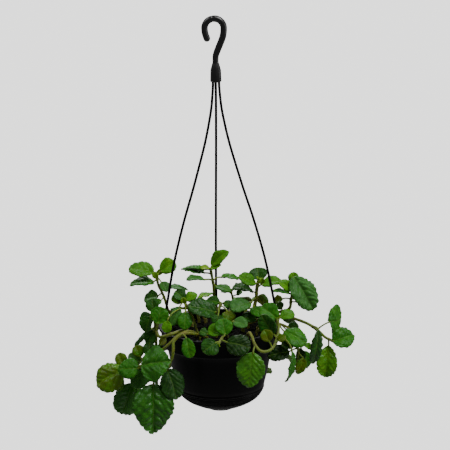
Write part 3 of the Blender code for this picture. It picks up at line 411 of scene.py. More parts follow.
class StageSizes(bpy.types.PropertyGroup):
    """Camera, lights and backdrop."""
    lens: number("Lens", "Focal length", 136.0, unit="CAMERA")
    pitch: number("Pitch", "How far the camera looks down", math.radians(12.9), -1.5, subtype="ANGLE")
    roll: number("Roll", "How far the camera leans", math.radians(0.8), -1.5, subtype="ANGLE")
    floor_drop: length("Floor drop", "How far the floor lies under the hook", 2400.0)
    floor_radius: length("Floor radius", "Radius of the round paper floor", 2400.0)
    key_power: number("Key light", "Power of the large soft light", 35.0, unit="POWER")
    side_power: number("Side light", "Power of the light on the right", 9.0, unit="POWER")
    left_power: number("Left light", "Power of the small high light on the left", 8.5, unit="POWER")
    back_power: number("Back light", "Power of the light behind the basket", 22.0, unit="POWER")
    sky: number("Sky", "Strength of the light from all sides", 0.16)
    surround: number("Surround", "Brightness of the white room behind the basket", 2.0)


class FinishColours(bpy.types.PropertyGroup):
    """The colours of every finish."""
    plastic: tint("Plastic", "Black polypropylene", 0x070708)
    dust: tint("Dust", "Dust and dried water on the plastic", 0x232425)
    young: tint("Young leaf", "Leaves at the tips", 0x7CAA18)
    bright: tint("Bright leaf", "Leaves that have just grown", 0x4A9006)
    grown: tint("Grown leaf", "Leaves in full growth", 0x24700A)
    # the dark and darkest greens also serve as painted shade on leaves that others shadow
    dark: tint("Dark leaf", "Older leaves", 0x124E08)
    darkest: tint("Darkest leaf", "Oldest, shaded leaves", 0x082E06)
    olive: tint("Olive leaf", "Leaves that turn olive", 0x5A5C0A)
    # a grey mixed into the leaves' colour: partly the short hairs' own grey, partly painted sheen of glare on
    # leaves that face the light
    hair_grey_and_painted_sheen: tint("Bloom", "Grey sheen of short hairs", 0x4F7A44)
    underside: tint("Underside", "The paler lower face", 0x6F8C48)
    vein: tint("Vein", "Veins and midrib", 0x7CA03A)
    stem: tint("Stem", "Fresh stems and stalks", 0x6E8622)
    bark: tint("Bark", "Older stems", 0x82722F)
    blush: tint("Blush", "Reddish brown joints of the stems", 0x6E4A34)
    # near black: the peat's own dark colour, darkened further as painted shade of the leaves over it
    soil: tint("Soil", "Moist peat", 0x090604)
    fibre: tint("Fibre", "Drier crumbs and fibres", 0x261B12)
    paper: tint("Backdrop", "Matt paper", 0xF4F4F3)


class BasketSettings(bpy.types.PropertyGroup):
    """Everything that a user may change."""
    hanger: PointerProperty(type=HangerSizes)
    pot: PointerProperty(type=PotSizes)
    leaf: PointerProperty(type=LeafSizes)
    soil: PointerProperty(type=SoilSizes)
    stage: PointerProperty(type=StageSizes)
    colours: PointerProperty(type=FinishColours)


def settings():
    """The sizes and colours in use."""
    return bpy.context.scene.basket


# Materials


def feed(node, inputs):
    """Set a node's inputs, by name or in order: each is a value, a socket or a node's main output."""
    pairs = inputs.items() if isinstance(inputs, dict) else enumerate(inputs)
    for socket, value in pairs:
        if isinstance(value, bpy.types.Node):
            value = next(out for out in value.outputs if out.enabled)
        if isinstance(value, bpy.types.NodeSocket):
            node.id_data.links.new(value, node.inputs[socket])
        else:
            node.inputs[socket].default_value = value


def add_node(tree, kind, inputs=(), **values):
    """Add a shader node with its settings and inputs."""
    node = tree.nodes.new("ShaderNode" + kind)
    for key, value in values.items():
        setattr(node, key, value)
    feed(node, inputs)
    return node


def new_material(name):
    """A new material, the function that adds nodes to it, and its Principled shader."""
    mat = bpy.data.materials.new(name)
    mat.use_nodes = True
    return mat, partial(add_node, mat.node_tree), mat.node_tree.nodes["Principled BSDF"]


def per_mm(size):
    """Texture scale, in cells a metre, of a pattern whose cell is size mm across."""
    return 1.0 / (size * MM)


def black_plastic(name="black_polypropylene", shine=0.13):
    """Injection-moulded black polypropylene: satin, with a faint mould texture and a little dust."""
    c = settings().colours
    mat, add, shader = new_material(name)
    place = add("TexCoord").outputs["Object"]
    smudge = add("TexNoise", {"Vector": place, "Scale": per_mm(28), "Detail": 5.0, "Roughness": 0.62})
    film = add("MapRange", (smudge, 0.52, 0.82, 0.0, 0.12))
    # dust specks are about 1 mm across, coarser than real ones, so that they show
    speck = add("TexVoronoi", {"Vector": place, "Scale": per_mm(7)})
    spots = add("MapRange", (speck, 0.1, 0.05))
    rare = add("TexNoise", {"Vector": place, "Scale": per_mm(19)})
    kept = add("Math", (rare, 0.6), operation="GREATER_THAN")
    specks = add("Math", (spots, kept), operation="MULTIPLY")
    dusty = add("Math", (film, specks), operation="MAXIMUM")
    base = add("Mix", {0: dusty, MIX_A: (*c.plastic, 1), MIX_B: (*c.dust, 1)}, **MIXED)
    rough = add("MapRange", (smudge, 0.0, 1.0, 0.24, 0.42))
    # the mould's spark texture is drawn with a 0.6 mm grain, coarser than the real one, so that it shows
    grain = add("TexNoise", {"Vector": place, "Scale": per_mm(0.6), "Detail": 2.0})
    bump = add("Bump", {"Height": grain, "Strength": 0.12, "Distance": 0.00012})
    feed(shader, {"Base Color": base, "Roughness": rough, "IOR": 1.49, "Specular IOR Level": shine,
                  "Normal": bump})
    return mat


def hanger_plastic():
    """The same plastic, moulded in a polished mould, so that the hook shines more than the pot."""
    return black_plastic("black_polypropylene_polished", 0.75)


def potting_soil():
    """Moist peat with drier crumbs and fibres: dark, matt and broken up at every scale."""
    c = settings().colours
    mat, add, shader = new_material("peat_potting_soil")
    place = add("TexCoord").outputs["Object"]
    crumbs = add("TexVoronoi", {"Vector": place, "Scale": per_mm(2.2)})
    patches = add("TexNoise", {"Vector": place, "Scale": per_mm(5), "Detail": 6.0, "Roughness": 0.7})
    dry = add("MapRange", (patches, 0.5, 0.75))
    base = add("Mix", {0: dry, MIX_A: (*c.soil, 1), MIX_B: (*c.fibre, 1)}, **MIXED)
    # painted shade: darker in the hollows between crumbs, lighter on their tops
    painted_pit_shade = add("MapRange", (crumbs, 0.0, 1.0, 1.15, 0.45))
    base = add("Mix", {0: 1.0, MIX_A: base, MIX_B: painted_pit_shade}, **MULTIPLIED)
    height = add("Math", (patches, crumbs), operation="SUBTRACT")
    bump = add("Bump", {"Height": height, "Strength": 0.9, "Distance": 0.0012})
    feed(shader, {"Base Color": base, "Roughness": 0.93, "IOR": 1.4, "Specular IOR Level": 0.25,
                  "Normal": bump})
    return mat


def leaf_blade():
    """A living, fleshy leaf blade: waxy skin over soft hairs, with sunken, paler veins."""
    c = settings().colours
    mat, add, shader = new_material("fleshy_leaf_blade")
    blade, look, skin = (add("Attribute", attribute_name=key) for key in LAYERS)
    at, kind, face = (add("SeparateXYZ", (layer.outputs["Vector"],)).outputs for layer in (blade, look, skin))
    smooth = {"interpolation_type": "SMOOTHSTEP"}

    # places on the blade are in mm, moved for each leaf so that no two leaves share a pattern
    drift = add("Math", (kind["Z"], 731.0), operation="MULTIPLY")
    spot = add("CombineXYZ", (at["X"], at["Y"], drift))
    slow = add("TexNoise", {"Vector": spot, "Scale": 1 / 9.0, "Detail": 3.0})
    fine = add("TexNoise", {"Vector": spot, "Scale": 1 / 1.6, "Detail": 3.0})

    # age sets the green, a little unevenly; on shadowed leaves the darker greens are partly painted shade
    age = add("Math", (slow, 0.5, kind["X"]), operation="MULTIPLY_ADD")
    age = add("Math", (age, 0.25), operation="SUBTRACT", use_clamp=True)
    greens = add("ValToRGB", (age,))
    stops = greens.color_ramp.elements
    stops[0].color, stops[1].color = (*c.young, 1), (*c.darkest, 1)
    for place, shade in ((0.22, c.bright), (0.5, c.grown), (0.76, c.dark)):
        stops.new(place).color = (*shade, 1)
    patch = add("MapRange", (slow, 0.2, 0.62), **smooth)
    olive = add("Math", (kind["Y"], patch), operation="MULTIPLY", use_clamp=True)
    base = add("Mix", {0: olive, MIX_A: greens, MIX_B: (*c.olive, 1)}, **MIXED)
    mottle = add("MapRange", (fine, 0.25, 0.75, 0.72, 1.25), **smooth)
    base = add("Mix", {0: 0.55, MIX_A: base, MIX_B: mottle}, **MULTIPLIED)

    # side veins lie where the phase is whole; they are about 0.8 mm wide at the midrib and fade outwards
    phase = add("Math", (at["Z"], 0.5), operation="PINGPONG")
    away = add("Math", (phase, look.outputs["Alpha"]), operation="MULTIPLY")
    near = add("MapRange", (away, 0.75, 0.1), **smooth)
    faded = add("MapRange", (blade.outputs["Alpha"], 1.0, 0.45, 0.15, 1.0), **smooth)
    side_vein = add("Math", (near, faded), operation="MULTIPLY")
    beside = add("Math", (at["Y"],), operation="ABSOLUTE")
    midrib = add("MapRange", (beside, 1.0, 0.3, 0.0, 0.24), **smooth)
    # the net between them has cells of 2.3 mm, coarser than the real one, so that it shows
    net = add("TexVoronoi", {"Vector": spot, "Scale": 1 / 2.3}, feature="DISTANCE_TO_EDGE")
    threads = add("MapRange", (net, 0.16, 0.02, 0.0, 0.0672), **smooth)
    pale = add("Math", (side_vein, 0.18), operation="MULTIPLY")
    pale = add("Math", (midrib, pale), operation="MAXIMUM")
    pale = add("Math", (pale, threads), operation="MAXIMUM")
    # the hairs' grey mixed into the colour is partly painted sheen
    painted_sheen_and_hair_mix = add("Math", (face["Y"], 0.42), operation="MULTIPLY")
    below = add("Math", (face["X"], 0.5), operation="MULTIPLY")
    for amount, shade in ((pale, c.vein), (painted_sheen_and_hair_mix, c.hair_grey_and_painted_sheen), (below, c.underside)):
        base = add("Mix", {0: amount, MIX_A: base, MIX_B: (*shade, 1)}, **MIXED)

    # older and larger leaves are waxier
    rough = add("MapRange", (fine, 0.2, 0.8, 0.42, 0.5), **smooth)
    rough = add("Math", (kind["X"], -0.08, rough), operation="MULTIPLY_ADD")
    rough = add("Math", (face["Z"], -0.1, rough), operation="MULTIPLY_ADD")
    wax = add("MapRange", (face["Z"], 0.0, 1.0, 0.2, 0.6), **smooth)
    swell = add("MapRange", (net, 0.0, 0.45, 0.0, 0.6), **smooth)
    swell = add("Math", (side_vein, -0.5, swell), operation="MULTIPLY_ADD")
    swell = add("Math", (fine, 0.25, swell), operation="MULTIPLY_ADD")
    bump = add("Bump", {"Height": swell, "Strength": 0.3, "Distance": 0.0005})
    # short hairs too fine to draw show as a pale sheen at grazing angles
    feed(shader, {"Base Color": base, "Roughness": rough, "IOR": 1.43, "Specular IOR Level": wax,
                  "Sheen Weight": 0.015, "Sheen Roughness": 0.45, "Sheen Tint": (0.75, 0.9, 0.7, 1),
                  "Subsurface Weight": 0.12, "Subsurface Radius": (0.5, 1.0, 0.2),
                  "Subsurface Scale": 0.0015, "Normal": bump})
    return mat


def green_stem():
    """Square-sectioned soft stems and stalks: yellow-green skin, browned where they are old."""
    c = settings().colours
    mat, add, shader = new_material("soft_green_stem")
    look = add("Attribute", attribute_name="look")
    kind = add("SeparateXYZ", (look.outputs["Vector"],)).outputs
    place = add("TexCoord").outputs["Object"]
    streak = add("TexNoise", {"Vector": place, "Scale": per_mm(7), "Detail": 4.0})
    old = add("Math", (streak, kind["X"]), operation="MULTIPLY")
    bark = add("MapRange", (old, 0.25, 0.7))
    base = add("Mix", {0: bark, MIX_A: (*c.stem, 1), MIX_B: (*c.bark, 1)}, **MIXED)
    base = add("Mix", {0: kind["Y"], MIX_A: base, MIX_B: (*c.blush, 1)}, **MIXED)
    fine = add("TexNoise", {"Vector": place, "Scale": per_mm(1.2), "Detail": 2.0})
    mottle = add("MapRange", (fine, 0.0, 1.0, 0.7, 1.25))
    base = add("Mix", {0: 1.0, MIX_A: base, MIX_B: mottle}, **MULTIPLIED)
    bump = add("Bump", {"Height": fine, "Strength": 0.35, "Distance": 0.0003})
    # juicy stems let light through
    feed(shader, {"Base Color": base, "Roughness": 0.52, "IOR": 1.42, "Sheen Weight": 0.12,
                  "Sheen Roughness": 0.4, "Subsurface Weight": 0.7,
                  "Subsurface Radius": (1.0, 0.95, 0.35), "Subsurface Scale": 0.003, "Normal": bump})
    return mat


def matt_paper():
    """Seamless studio paper: matt, with a grain too faint to see from here."""
    paper = (*settings().colours.paper, 1)
    mat, add, shader = new_material("matt_studio_paper")
    place = add("TexCoord").outputs["Object"]
    grain = add("TexNoise", {"Vector": place, "Scale": per_mm(40), "Detail": 2.0})
    tone = add("MapRange", (grain, 0.0, 1.0, 0.985, 1.0))
    base = add("Mix", {0: 1.0, MIX_A: paper, MIX_B: tone}, **MULTIPLIED)
    # lit through from below like a light table, so that it meets the white room without an edge
    glow = add("MapRange", (add("LightPath"), 0.0, 1.0, 0.0, 0.88 * settings().stage.surround))
    feed(shader, {"Base Color": base, "Emission Color": paper, "Emission Strength": glow, "Roughness": 0.95})
    return mat


MAKERS = {"plastic": black_plastic, "hanger": hanger_plastic, "soil": potting_soil,
          "blade": leaf_blade, "stem": green_stem, "paper": matt_paper}
finishes = {}


def finish(name):
    """The finish of that name, made once."""
    if name not in finishes:
        finishes[name] = MAKERS[name]()
    return finishes[name]


# Shapes


def share(value, low, high):
    """How far a value is on its way from low to high, kept within 0 and 1."""
    return min(1.0, max(0.0, (value - low) / (high - low)))


def frame_point(p):
    """A point in mm from the middle of the rim's top, in the frame in metres."""
    return Vector(((p[0] + AXIS_X) * MM, p[1] * MM, (p[2] - HANG_DROP) * MM))


def polar(radius, azimuth, z):
    """A point in mm at a radius and azimuth in degrees about the pot's axis."""
    turn = math.radians(azimuth)
    return Vector((radius * math.cos(turn), radius * math.sin(turn), z))


def new_piece(name, points, faces, finish_name):
    """A smooth-shaded object from points in mm from the rim's middle."""
    mesh = bpy.data.meshes.new(name)
    spots = (np.asarray(points, float) + (AXIS_X, 0, -HANG_DROP)) * MM
    mesh.from_pydata(spots.tolist(), [], faces)
    mesh.materials.append(finish(finish_name))
    mesh.shade_smooth()
    piece = bpy.data.objects.new(name, mesh)
    bpy.context.scene.collection.objects.link(piece)
    return piece


def moulding(name, shape, finish_name="plastic"):
    """A piece from a closed shape's points and faces, with every face turned outward."""
    piece = new_piece(name, *shape, finish_name)
    form = bmesh.new()
    form.from_mesh(piece.data)
    bmesh.ops.recalc_face_normals(form, faces=form.faces)
    form.to_mesh(piece.data)
    form.free()
    return piece


def stand_for(piece, node):
    """The piece moves with the basket and stands for a solid, which is hidden."""
    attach(piece, BODY)
    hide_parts(node)


def sharpen(piece, angle):
    """Shade a piece's edges sharp where they turn by more than an angle in degrees."""
    piece.data.set_sharp_from_angle(angle=math.radians(angle))


def modify(piece, kind, **values):
    """Apply a modifier with its settings."""
    modifier = piece.modifiers.new(kind, kind)
    for key, value in values.items():
        setattr(modifier, key, value)
    evaluated = piece.evaluated_get(bpy.context.evaluated_depsgraph_get())
    mesh = bpy.data.meshes.new_from_object(evaluated)
    piece.modifiers.clear()
    piece.data = mesh


def combine(piece, others, operation):
    """Apply an exact Boolean of a piece with others, which are then removed."""
    group = bpy.data.collections.new("group")
    bpy.context.scene.collection.children.link(group)
    for other in others:
        group.objects.link(other)
    modify(piece, "BOOLEAN", operation=operation, operand_type="COLLECTION", collection=group, solver="EXACT")
    for other in others:
        bpy.data.objects.remove(other, do_unlink=True)
    bpy.data.collections.remove(group)


def soften(piece, width, angle, segments):
    """Round a piece's sharp edges."""
    modify(piece, "BEVEL", width=width * MM, segments=segments, limit_method="ANGLE",
           angle_limit=math.radians(angle))
    piece.data.shade_smooth()
    sharpen(piece, 40)


def curve_through(points, steps):
    """Points along a smooth curve through the given ones, with steps to each span."""
    pts = [Vector(p) for p in points]
    pts = [2 * pts[0] - pts[1]] + pts + [2 * pts[-1] - pts[-2]]
    out = []
    for i in range(1, len(pts) - 2):
        a, b, c, d = pts[i - 1:i + 3]
        for k in range(steps):
            t = k / steps
            out.append(0.5 * (2 * b + (c - a) * t + (2 * a - 5 * b + 4 * c - d) * t ** 2
                              + (3 * b - a - 3 * c + d) * t ** 3))
    out.append(pts[-2].copy())
    return out


def along_curve(line, place):
    """The point a given part, 0 to 1, of the way along a line of points."""
    lengths = [(b - a).length for a, b in zip(line, line[1:])]
    left = place * sum(lengths)
    for start, end, run in zip(line, line[1:], lengths):
        if left <= run:
            return start.lerp(end, left / run)
        left -= run
    return line[-1].copy()


def sweep(line, radii, sides, square=0.0):
    """Points and faces of a closed tube along a line; square flattens it towards four sides."""
    points, faces = [], []
    side = None
    for i, centre in enumerate(line):
        along = (line[min(i + 1, len(line) - 1)] - line[max(i - 1, 0)]).normalized()
        if side is None:
            side = along.orthogonal().normalized()
        side = (side - along * side.dot(along)).normalized()
        up = along.cross(side)
        for k in range(sides):
            turn = 2 * math.pi * k / sides
            reach = radii[i] * (1 - square * (0.5 + 0.5 * math.cos(4 * turn)))
            points.append(centre + reach * (math.cos(turn) * side + math.sin(turn) * up))
    last = (len(line) - 1) * sides
    for ring in range(0, last, sides):
        for k in range(sides):
            a, b = ring + k, ring + (k + 1) % sides
            faces.append((a, b, b + sides, a + sides))
    faces.append(tuple(range(sides - 1, -1, -1)))
    faces.append(tuple(range(last, last + sides)))
    return points, faces


def upright_rod(name, centre, low, high, radius, sides, finish_name="plastic"):
    """A closed cylinder from one height to another, to be joined to a piece or cut from it."""
    ends = [centre + Vector((0, 0, z)) for z in (low, high)]
    return moulding(name, sweep(ends, [radius] * 2, sides), finish_name)


def domed(line, radii, radius, steps):
    """Add a round end to a line and its radii."""
    end = line[-1]
    onward = (end - line[-2]).normalized()
    for k in range(1, steps + 1):
        turn = math.radians(84 * k / steps)
        line.append(end + onward * radius * math.sin(turn))
        radii.append(radius * math.cos(turn))


def turned(profile, steps):
    """Points and faces of a closed section (radius, z) turned about the pot's axis."""
    points, index = [], []
    for radius, z in profile:
        row = []
        for k in range(steps):
            if radius > 0 or k == 0:
                points.append(polar(radius, 360.0 * k / steps, z))
            row.append(len(points) - 1)
        index.append(row)
    faces = []
    for i, low in enumerate(index):
        after = (i + 1) % len(profile)
        high = index[after]
        if profile[i][0] == 0 and profile[after][0] == 0:
            continue
        for k in range(steps):
            n = (k + 1) % steps
            faces.append(tuple(dict.fromkeys([low[k], low[n], high[n], high[k]])))
    return points, faces


# Hanger


def hook_route():
    """The middle line of the hook's rod, from the neck round the bend to the free end."""
    h = settings().hanger
    rod, bend = h.rod_radius / MM, h.bend_radius / MM
    line = [(AXIS_X, -52), (1.1, -46), (1.6, -40), (4.4, -32.5), (9.4, -20.5), (11.0, -14.5)]
    start, end = HOOK_ARC
    for step in range(ARC_STEPS + 1):
        turn = math.radians(start + (end - start) * step / ARC_STEPS)
        line.append((bend * math.cos(turn), rod - bend + bend * math.sin(turn)))
    line += [(-10.8, -14.0), (-8.9, -19.8)]
    return [Vector((x, 0, z)) + Vector((-AXIS_X, 0, HANG_DROP)) for x, z in line]


def make_hook():
    """The moulded hook: round rod with a fine mould line across its top, and the faceted collar."""
    h = settings().hanger
    rod, neck, wide = h.rod_radius / MM, h.neck_radius / MM, h.collar_radius / MM
    line = curve_through(hook_route(), HOOK_STEPS)
    radii = [neck + (rod - neck) * share(i, 8, 18) for i in range(len(line))]
    top = max(range(len(line)), key=lambda i: line[i].z)
    radii[top + 3] -= MOULD_LINE
    domed(line, radii, rod, 6)
    hook = moulding("hook_moulding", sweep(line, radii, HOOK_SIDES), "hanger")
    facets = {0.0: wide - 0.9, 1.0: wide, 14.5: wide - 0.4, 22.0: 4.6, 25.0: 3.3}
    collar_line = [Vector((0, 0, COLLAR_BOTTOM + z)) for z in facets]
    collar = moulding("collar", sweep(collar_line, list(facets.values()), COLLAR_FACETS), "hanger")
    soften(collar, 0.5, 20.0, 3)
    combine(hook, [collar], "UNION")
    sockets = []
    for azimuth in EAR_AZIMUTHS.values():
        centre = polar(STRAND_RING_R, azimuth, COLLAR_BOTTOM)
        room = h.strand_radius / MM + GAP
        sockets.append(upright_rod("socket", centre, -1, SOCKET_DEPTH, room, SOCKET_SIDES, "hanger"))
    combine(hook, sockets, "DIFFERENCE")
    sharpen(hook, 38)
    stand_for(hook, "hook")


def strand_line(azimuth):
    """The strand's smooth middle line and radii, from its socket down to the barb under its ear."""
    h = settings().hanger
    thin, clip, barb = h.strand_radius / MM, h.clip_radius / MM, h.barb_radius / MM
    bow = [(STRAND_RING_R, COLLAR_BOTTOM + SOCKET_DEPTH - GAP), (STRAND_RING_R, COLLAR_BOTTOM), (4.9, 294),
           (7.2, 274), (11.2, 255), (16.0, 236), (22, 216.5), (35, 178), (48.8, 140), (61.2, 101), (68.6, 72),
           (74.2, 46), (EAR_REACH, CLIP_TOP + 2)]
    line = curve_through([polar(radius, azimuth, z) for radius, z in bow], STRAND_STEPS)
    radii = [thin] * len(line)
    under = -LIP_THICK - GAP
    foot = [(CLIP_TOP, thin), (CLIP_TOP - 1.2, clip), (20.0, clip), (under, clip), (under - 0.2, barb),
            (under - 1.0, barb), (under - 1.6, barb - 0.25), (under - 6.5, 0.9)]
    for z, radius in foot:
        line.append(polar(EAR_REACH, azimuth, z))
        radii.append(radius)
    return line, radii


def make_strands():
    """Three thin moulded strands, each clipped through an ear on the rim."""
    for side, azimuth in EAR_AZIMUTHS.items():
        strand = moulding("strand_" + side + "_moulding", sweep(*strand_line(azimuth), STRAND_SIDES))
        sharpen(strand, 45)
        stand_for(strand, "strand_" + side)


# Pot and saucer


def make_pot():
    """The thin-walled pot with its lip, plain band, ears and drainage holes."""
    p = settings().pot
    lip, band_r, wall = p.lip_radius / MM, p.band_radius / MM, p.wall / MM
    band = -BAND_DEPTH
    outer = [(0, POT_BASE_Z), (49.8, POT_BASE_Z), (50.8, POT_BASE_Z + 1.2), (52.4, POT_STEP_Z),
             (55.1, POT_STEP_Z), (56.3, -72), (58.0, -65.3), (59.5, -58.9), (61.3, -50), (62.9, -41.6),
             (65.0, -31), (66.7, band - 0.6), (72.3, band), (band_r, band + 0.9), (band_r, -LIP_THICK - 0.4),
             (lip - 0.5, -LIP_THICK), (lip, -LIP_THICK + 0.6), (lip, -0.9), (lip - 0.9, 0)]
    inner = [(band_r - wall - 0.6, 0), (band_r - wall - 1.0, -1), (band_r - wall - 1.2, band + 4.5),
             (65.2, band + 0.8), (62.9 - wall, -41.6), (56.3 - wall, -72), (50.9, POT_STEP_Z),
             (49.5, POT_BASE_Z + wall), (0, POT_BASE_Z + wall)]
    pot = moulding("pot_moulding", turned(outer + inner, p.steps))
    soften(pot, 0.3, 30.0, 2)
    ears, holes = [], []
    for azimuth in EAR_AZIMUTHS.values():
        centre = polar(EAR_REACH, azimuth, 0)
        ears.append(upright_rod("ear", centre, -LIP_THICK + 0.15, -0.15, EAR_OUTER_R, EAR_SIDES))
        holes.append(upright_rod("hole", centre, -LIP_THICK - 2, 2, EAR_HOLE_R, HOLE_SIDES))
    for k in range(DRAINS):
        centre = polar(DRAIN_RING_R, 360.0 * k / DRAINS, POT_BASE_Z)
        holes.append(upright_rod("drain", centre, -1, wall + 1, p.drain_radius / MM, HOLE_SIDES))
    combine(pot, ears, "UNION")
    combine(pot, holes, "DIFFERENCE")
    sharpen(pot, 40)
    stand_for(pot, "pot")


def saucer_side(ring):
    """The saucer's outer side, from foot to top, with its fine rings cut in."""
    side = [(55.3, -79.2), (54.4, -81.6), (53.4, -83.8), (52.4, -85.5), (51.0, -87.6), (49.2, -89.6),
            (47.9, -91.0), (46.2, -92.4), (42.7, -95.0), (38.8, -97.2), (34.3, -99.5), (29.3, -101.8),
            (24.6, -103.6), (20, -105.2), (18.2, -105.8), (16.5, -106.6)]
    marks = []
    for (radius, z), (low_radius, low_z) in zip(side, side[1:]):
        marks.append((radius, z))
        if radius > 36:
            marks.append((0.35 * radius + 0.65 * low_radius - ring, 0.45 * z + 0.55 * low_z + 0.3 * ring))
            marks.append((0.15 * radius + 0.85 * low_radius - 0.3 * ring, 0.2 * z + 0.8 * low_z))
    marks.append(side[-1])
    return marks[::-1]


def make_saucer():
    """The clip-on saucer, stepped in rings down to its small foot."""
    p = settings().pot
    shelf = POT_BASE_Z - GAP
    outer = [(0, FOOT_Z), (15.8, FOOT_Z), (16.4, FOOT_Z + 0.5), *saucer_side(p.ring_depth / MM),
             (p.saucer_radius / MM, SAUCER_TOP_Z)]
    inner = [(52.8, SAUCER_TOP_Z), (51.5, shelf), (47, shelf), (45.3, -90.4), (34, -97.5), (17, -104.2),
             (0, -104.9)]
    saucer = moulding("saucer_moulding", turned(outer + inner, p.steps))
    sharpen(saucer, 32)
    stand_for(saucer, "saucer")


# Soil


def soil_height(x, y):
    """Height in mm of the soil's mounded, lumpy top."""
    mound = SOIL_RISE * (1 - (math.hypot(x, y) / SOIL_BOWL_R) ** 2)
    lumps = 1.1 * math.sin(x / 7.0) * math.cos(y / 8.0)
    return SOIL_EDGE_Z + mound + lumps


def crumb(form, centre, radius, draw):
    """Add one rough crumb to a mesh."""
    made = bmesh.ops.create_icosphere(form, subdivisions=1, radius=radius * MM)
    angle = draw.uniform(0, math.tau)
    turn = Matrix.Rotation(angle, 3, Vector((draw.random(), draw.random(), draw.random() + 0.1)))
    squash = Vector((draw.uniform(0.7, 1.5), draw.uniform(0.6, 1.1), draw.uniform(0.45, 0.9)))
    for vert in made["verts"]:
        vert.co = turn @ (vert.co * squash) * (1 + draw.uniform(-0.22, 0.22)) + centre


def make_soil():
    """The soil that fills the pot: a broken surface with loose crumbs pressed into it."""
    s, p = settings().soil, settings().pot
    wall = p.wall / MM
    room = wall + 0.5
    base = POT_BASE_Z + wall + GAP
    edge = p.band_radius / MM - room - 1.4
    below = [(0, base), (49.0, base), (50.3, POT_STEP_Z), (56.3 - room, -72), (62.9 - room, -41.6),
             (64.6, -21.3), (edge, -17.8)]
    # points above the pot's rim mark the soil's top, and are set at its height next
    top = [(edge * (1 - k / SOIL_RINGS), 1) for k in range(SOIL_RINGS + 1)]
    points, faces = turned(below + top, SOIL_STEPS)
    for spot in points:
        if spot.z > 0:
            rough = (noise.noise(Vector((spot.x, spot.y, 3.0)) / 6.5)
                     + 0.6 * noise.noise(Vector((spot.x, spot.y, 9.0)) / 2.6))
            spot.z = soil_height(spot.x, spot.y) + s.lump / MM * rough * 0.7
    soil = moulding("soil_fill", (points, faces), "soil")
    form = bmesh.new()
    form.from_mesh(soil.data)
    draw = random.Random(SOIL_SEED)
    for _ in range(s.crumbs):
        radius = (edge - 2) * math.sqrt(draw.random())
        place = polar(radius, draw.uniform(0, 360), 0)
        size = s.crumb / MM * draw.uniform(0.55, 1.7)
        place.z = soil_height(place.x, place.y) + 0.15 * size
        crumb(form, frame_point(place), size, draw)
    form.to_mesh(soil.data)
    form.free()
    soil.data.shade_smooth()
    stand_for(soil, "soil")


# Leafy stems


def rear_shoots():
    """The stems that hang over the back of the pot, in leafy pairs."""
    draw = random.Random(REAR_SEED)
    shoots = {}
    for name, (azimuth, hang) in REAR_STEMS.items():
        route = [polar(REAR_ROOT_R, azimuth, ROOT_TOP_Z), polar(REAR_RISE_R, azimuth, REAR_RISE_Z),
                 polar(REAR_OVER_R, azimuth, REAR_RISE_Z)]
        for part in (0.1, 0.45, 0.8, 1.0):
            turn = azimuth + draw.uniform(-5, 5)
            route.append(polar(REAR_OVER_R + 9 + 5 * part, turn, -hang * part))
        line = curve_through([tuple(p) for p in route], 2)
        leaves = []
        for pair in range(REAR_PAIRS):
            place = 0.5 + 0.49 * pair / (REAR_PAIRS - 1)
            node = along_curve(line, place)
            for hand in (-1, 1):
                heading = azimuth + hand * draw.uniform(50, 78)
                size = draw.uniform(25, 35)
                out = polar(1, heading, 0)
                base = node + out * 12 + Vector((0, 0, 3))
                tip = base + (out * 0.85 - Vector((0, 0, draw.uniform(0.35, 0.65)))) * size
                facing = polar(0.8, azimuth + hand * 18, 0.6)
                leaves.append((place, tuple(base), tuple(tip), size * 0.9, tuple(facing), -0.12))
        shoots[name] = (REAR_RADIUS, [tuple(p) for p in route], leaves)
    return shoots


def leaf_axes(leaf):
    """The leaf's own directions: along the midrib, across the blade and out of its upper face."""
    axis = Vector(leaf[2]) - Vector(leaf[1])
    size = axis.length
    axis = axis / size
    up = Vector(leaf[4])
    up = (up - axis * up.dot(axis)).normalized()
    return axis, up.cross(axis), up, size


def stalk_start(base, axis, place, line):
    """Where on the stem a leaf's stalk leaves it: the place that meets the blade most directly."""
    tries = []
    for step in range(-12, 13):
        spot = place + STALK_SEARCH * step / 12
        if 0.15 <= spot <= 0.99:
            start = along_curve(line, spot)
            run = base - start
            bend = STALK_STRAIGHT - run.normalized().dot(axis)
            cost = max(run.length, 1) * bend + 3 * max(0, STALK_MIN - run.length)
            tries.append((cost, start + run.normalized() * STALK_SINK))
    return min(tries, key=lambda found: found[0])[1]


def corner_tree(node):
    """The corners of a solid, to be searched by place."""
    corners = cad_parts[node].data.vertices
    found = KDTree(len(corners))
    for i, corner in enumerate(corners):
        found.insert(corner.co, i)
    found.balance()
    return found


def depth_shift(leaf, corners):
    """How far in depth the solid's blade was moved: where its base and tip corners are found."""
    up = leaf_axes(leaf)[2]
    misses = {}
    for shift in DEPTH_SHIFTS:
        moved = Vector((0, shift, 0))
        spots = [Vector(end) + moved + up * (BLADE_THICK / 2 * face) for end in leaf[1:3] for face in (1, -1)]
        misses[shift] = sum(corners.find(frame_point(spot))[2] for spot in spots)
    return min(misses, key=misses.get)


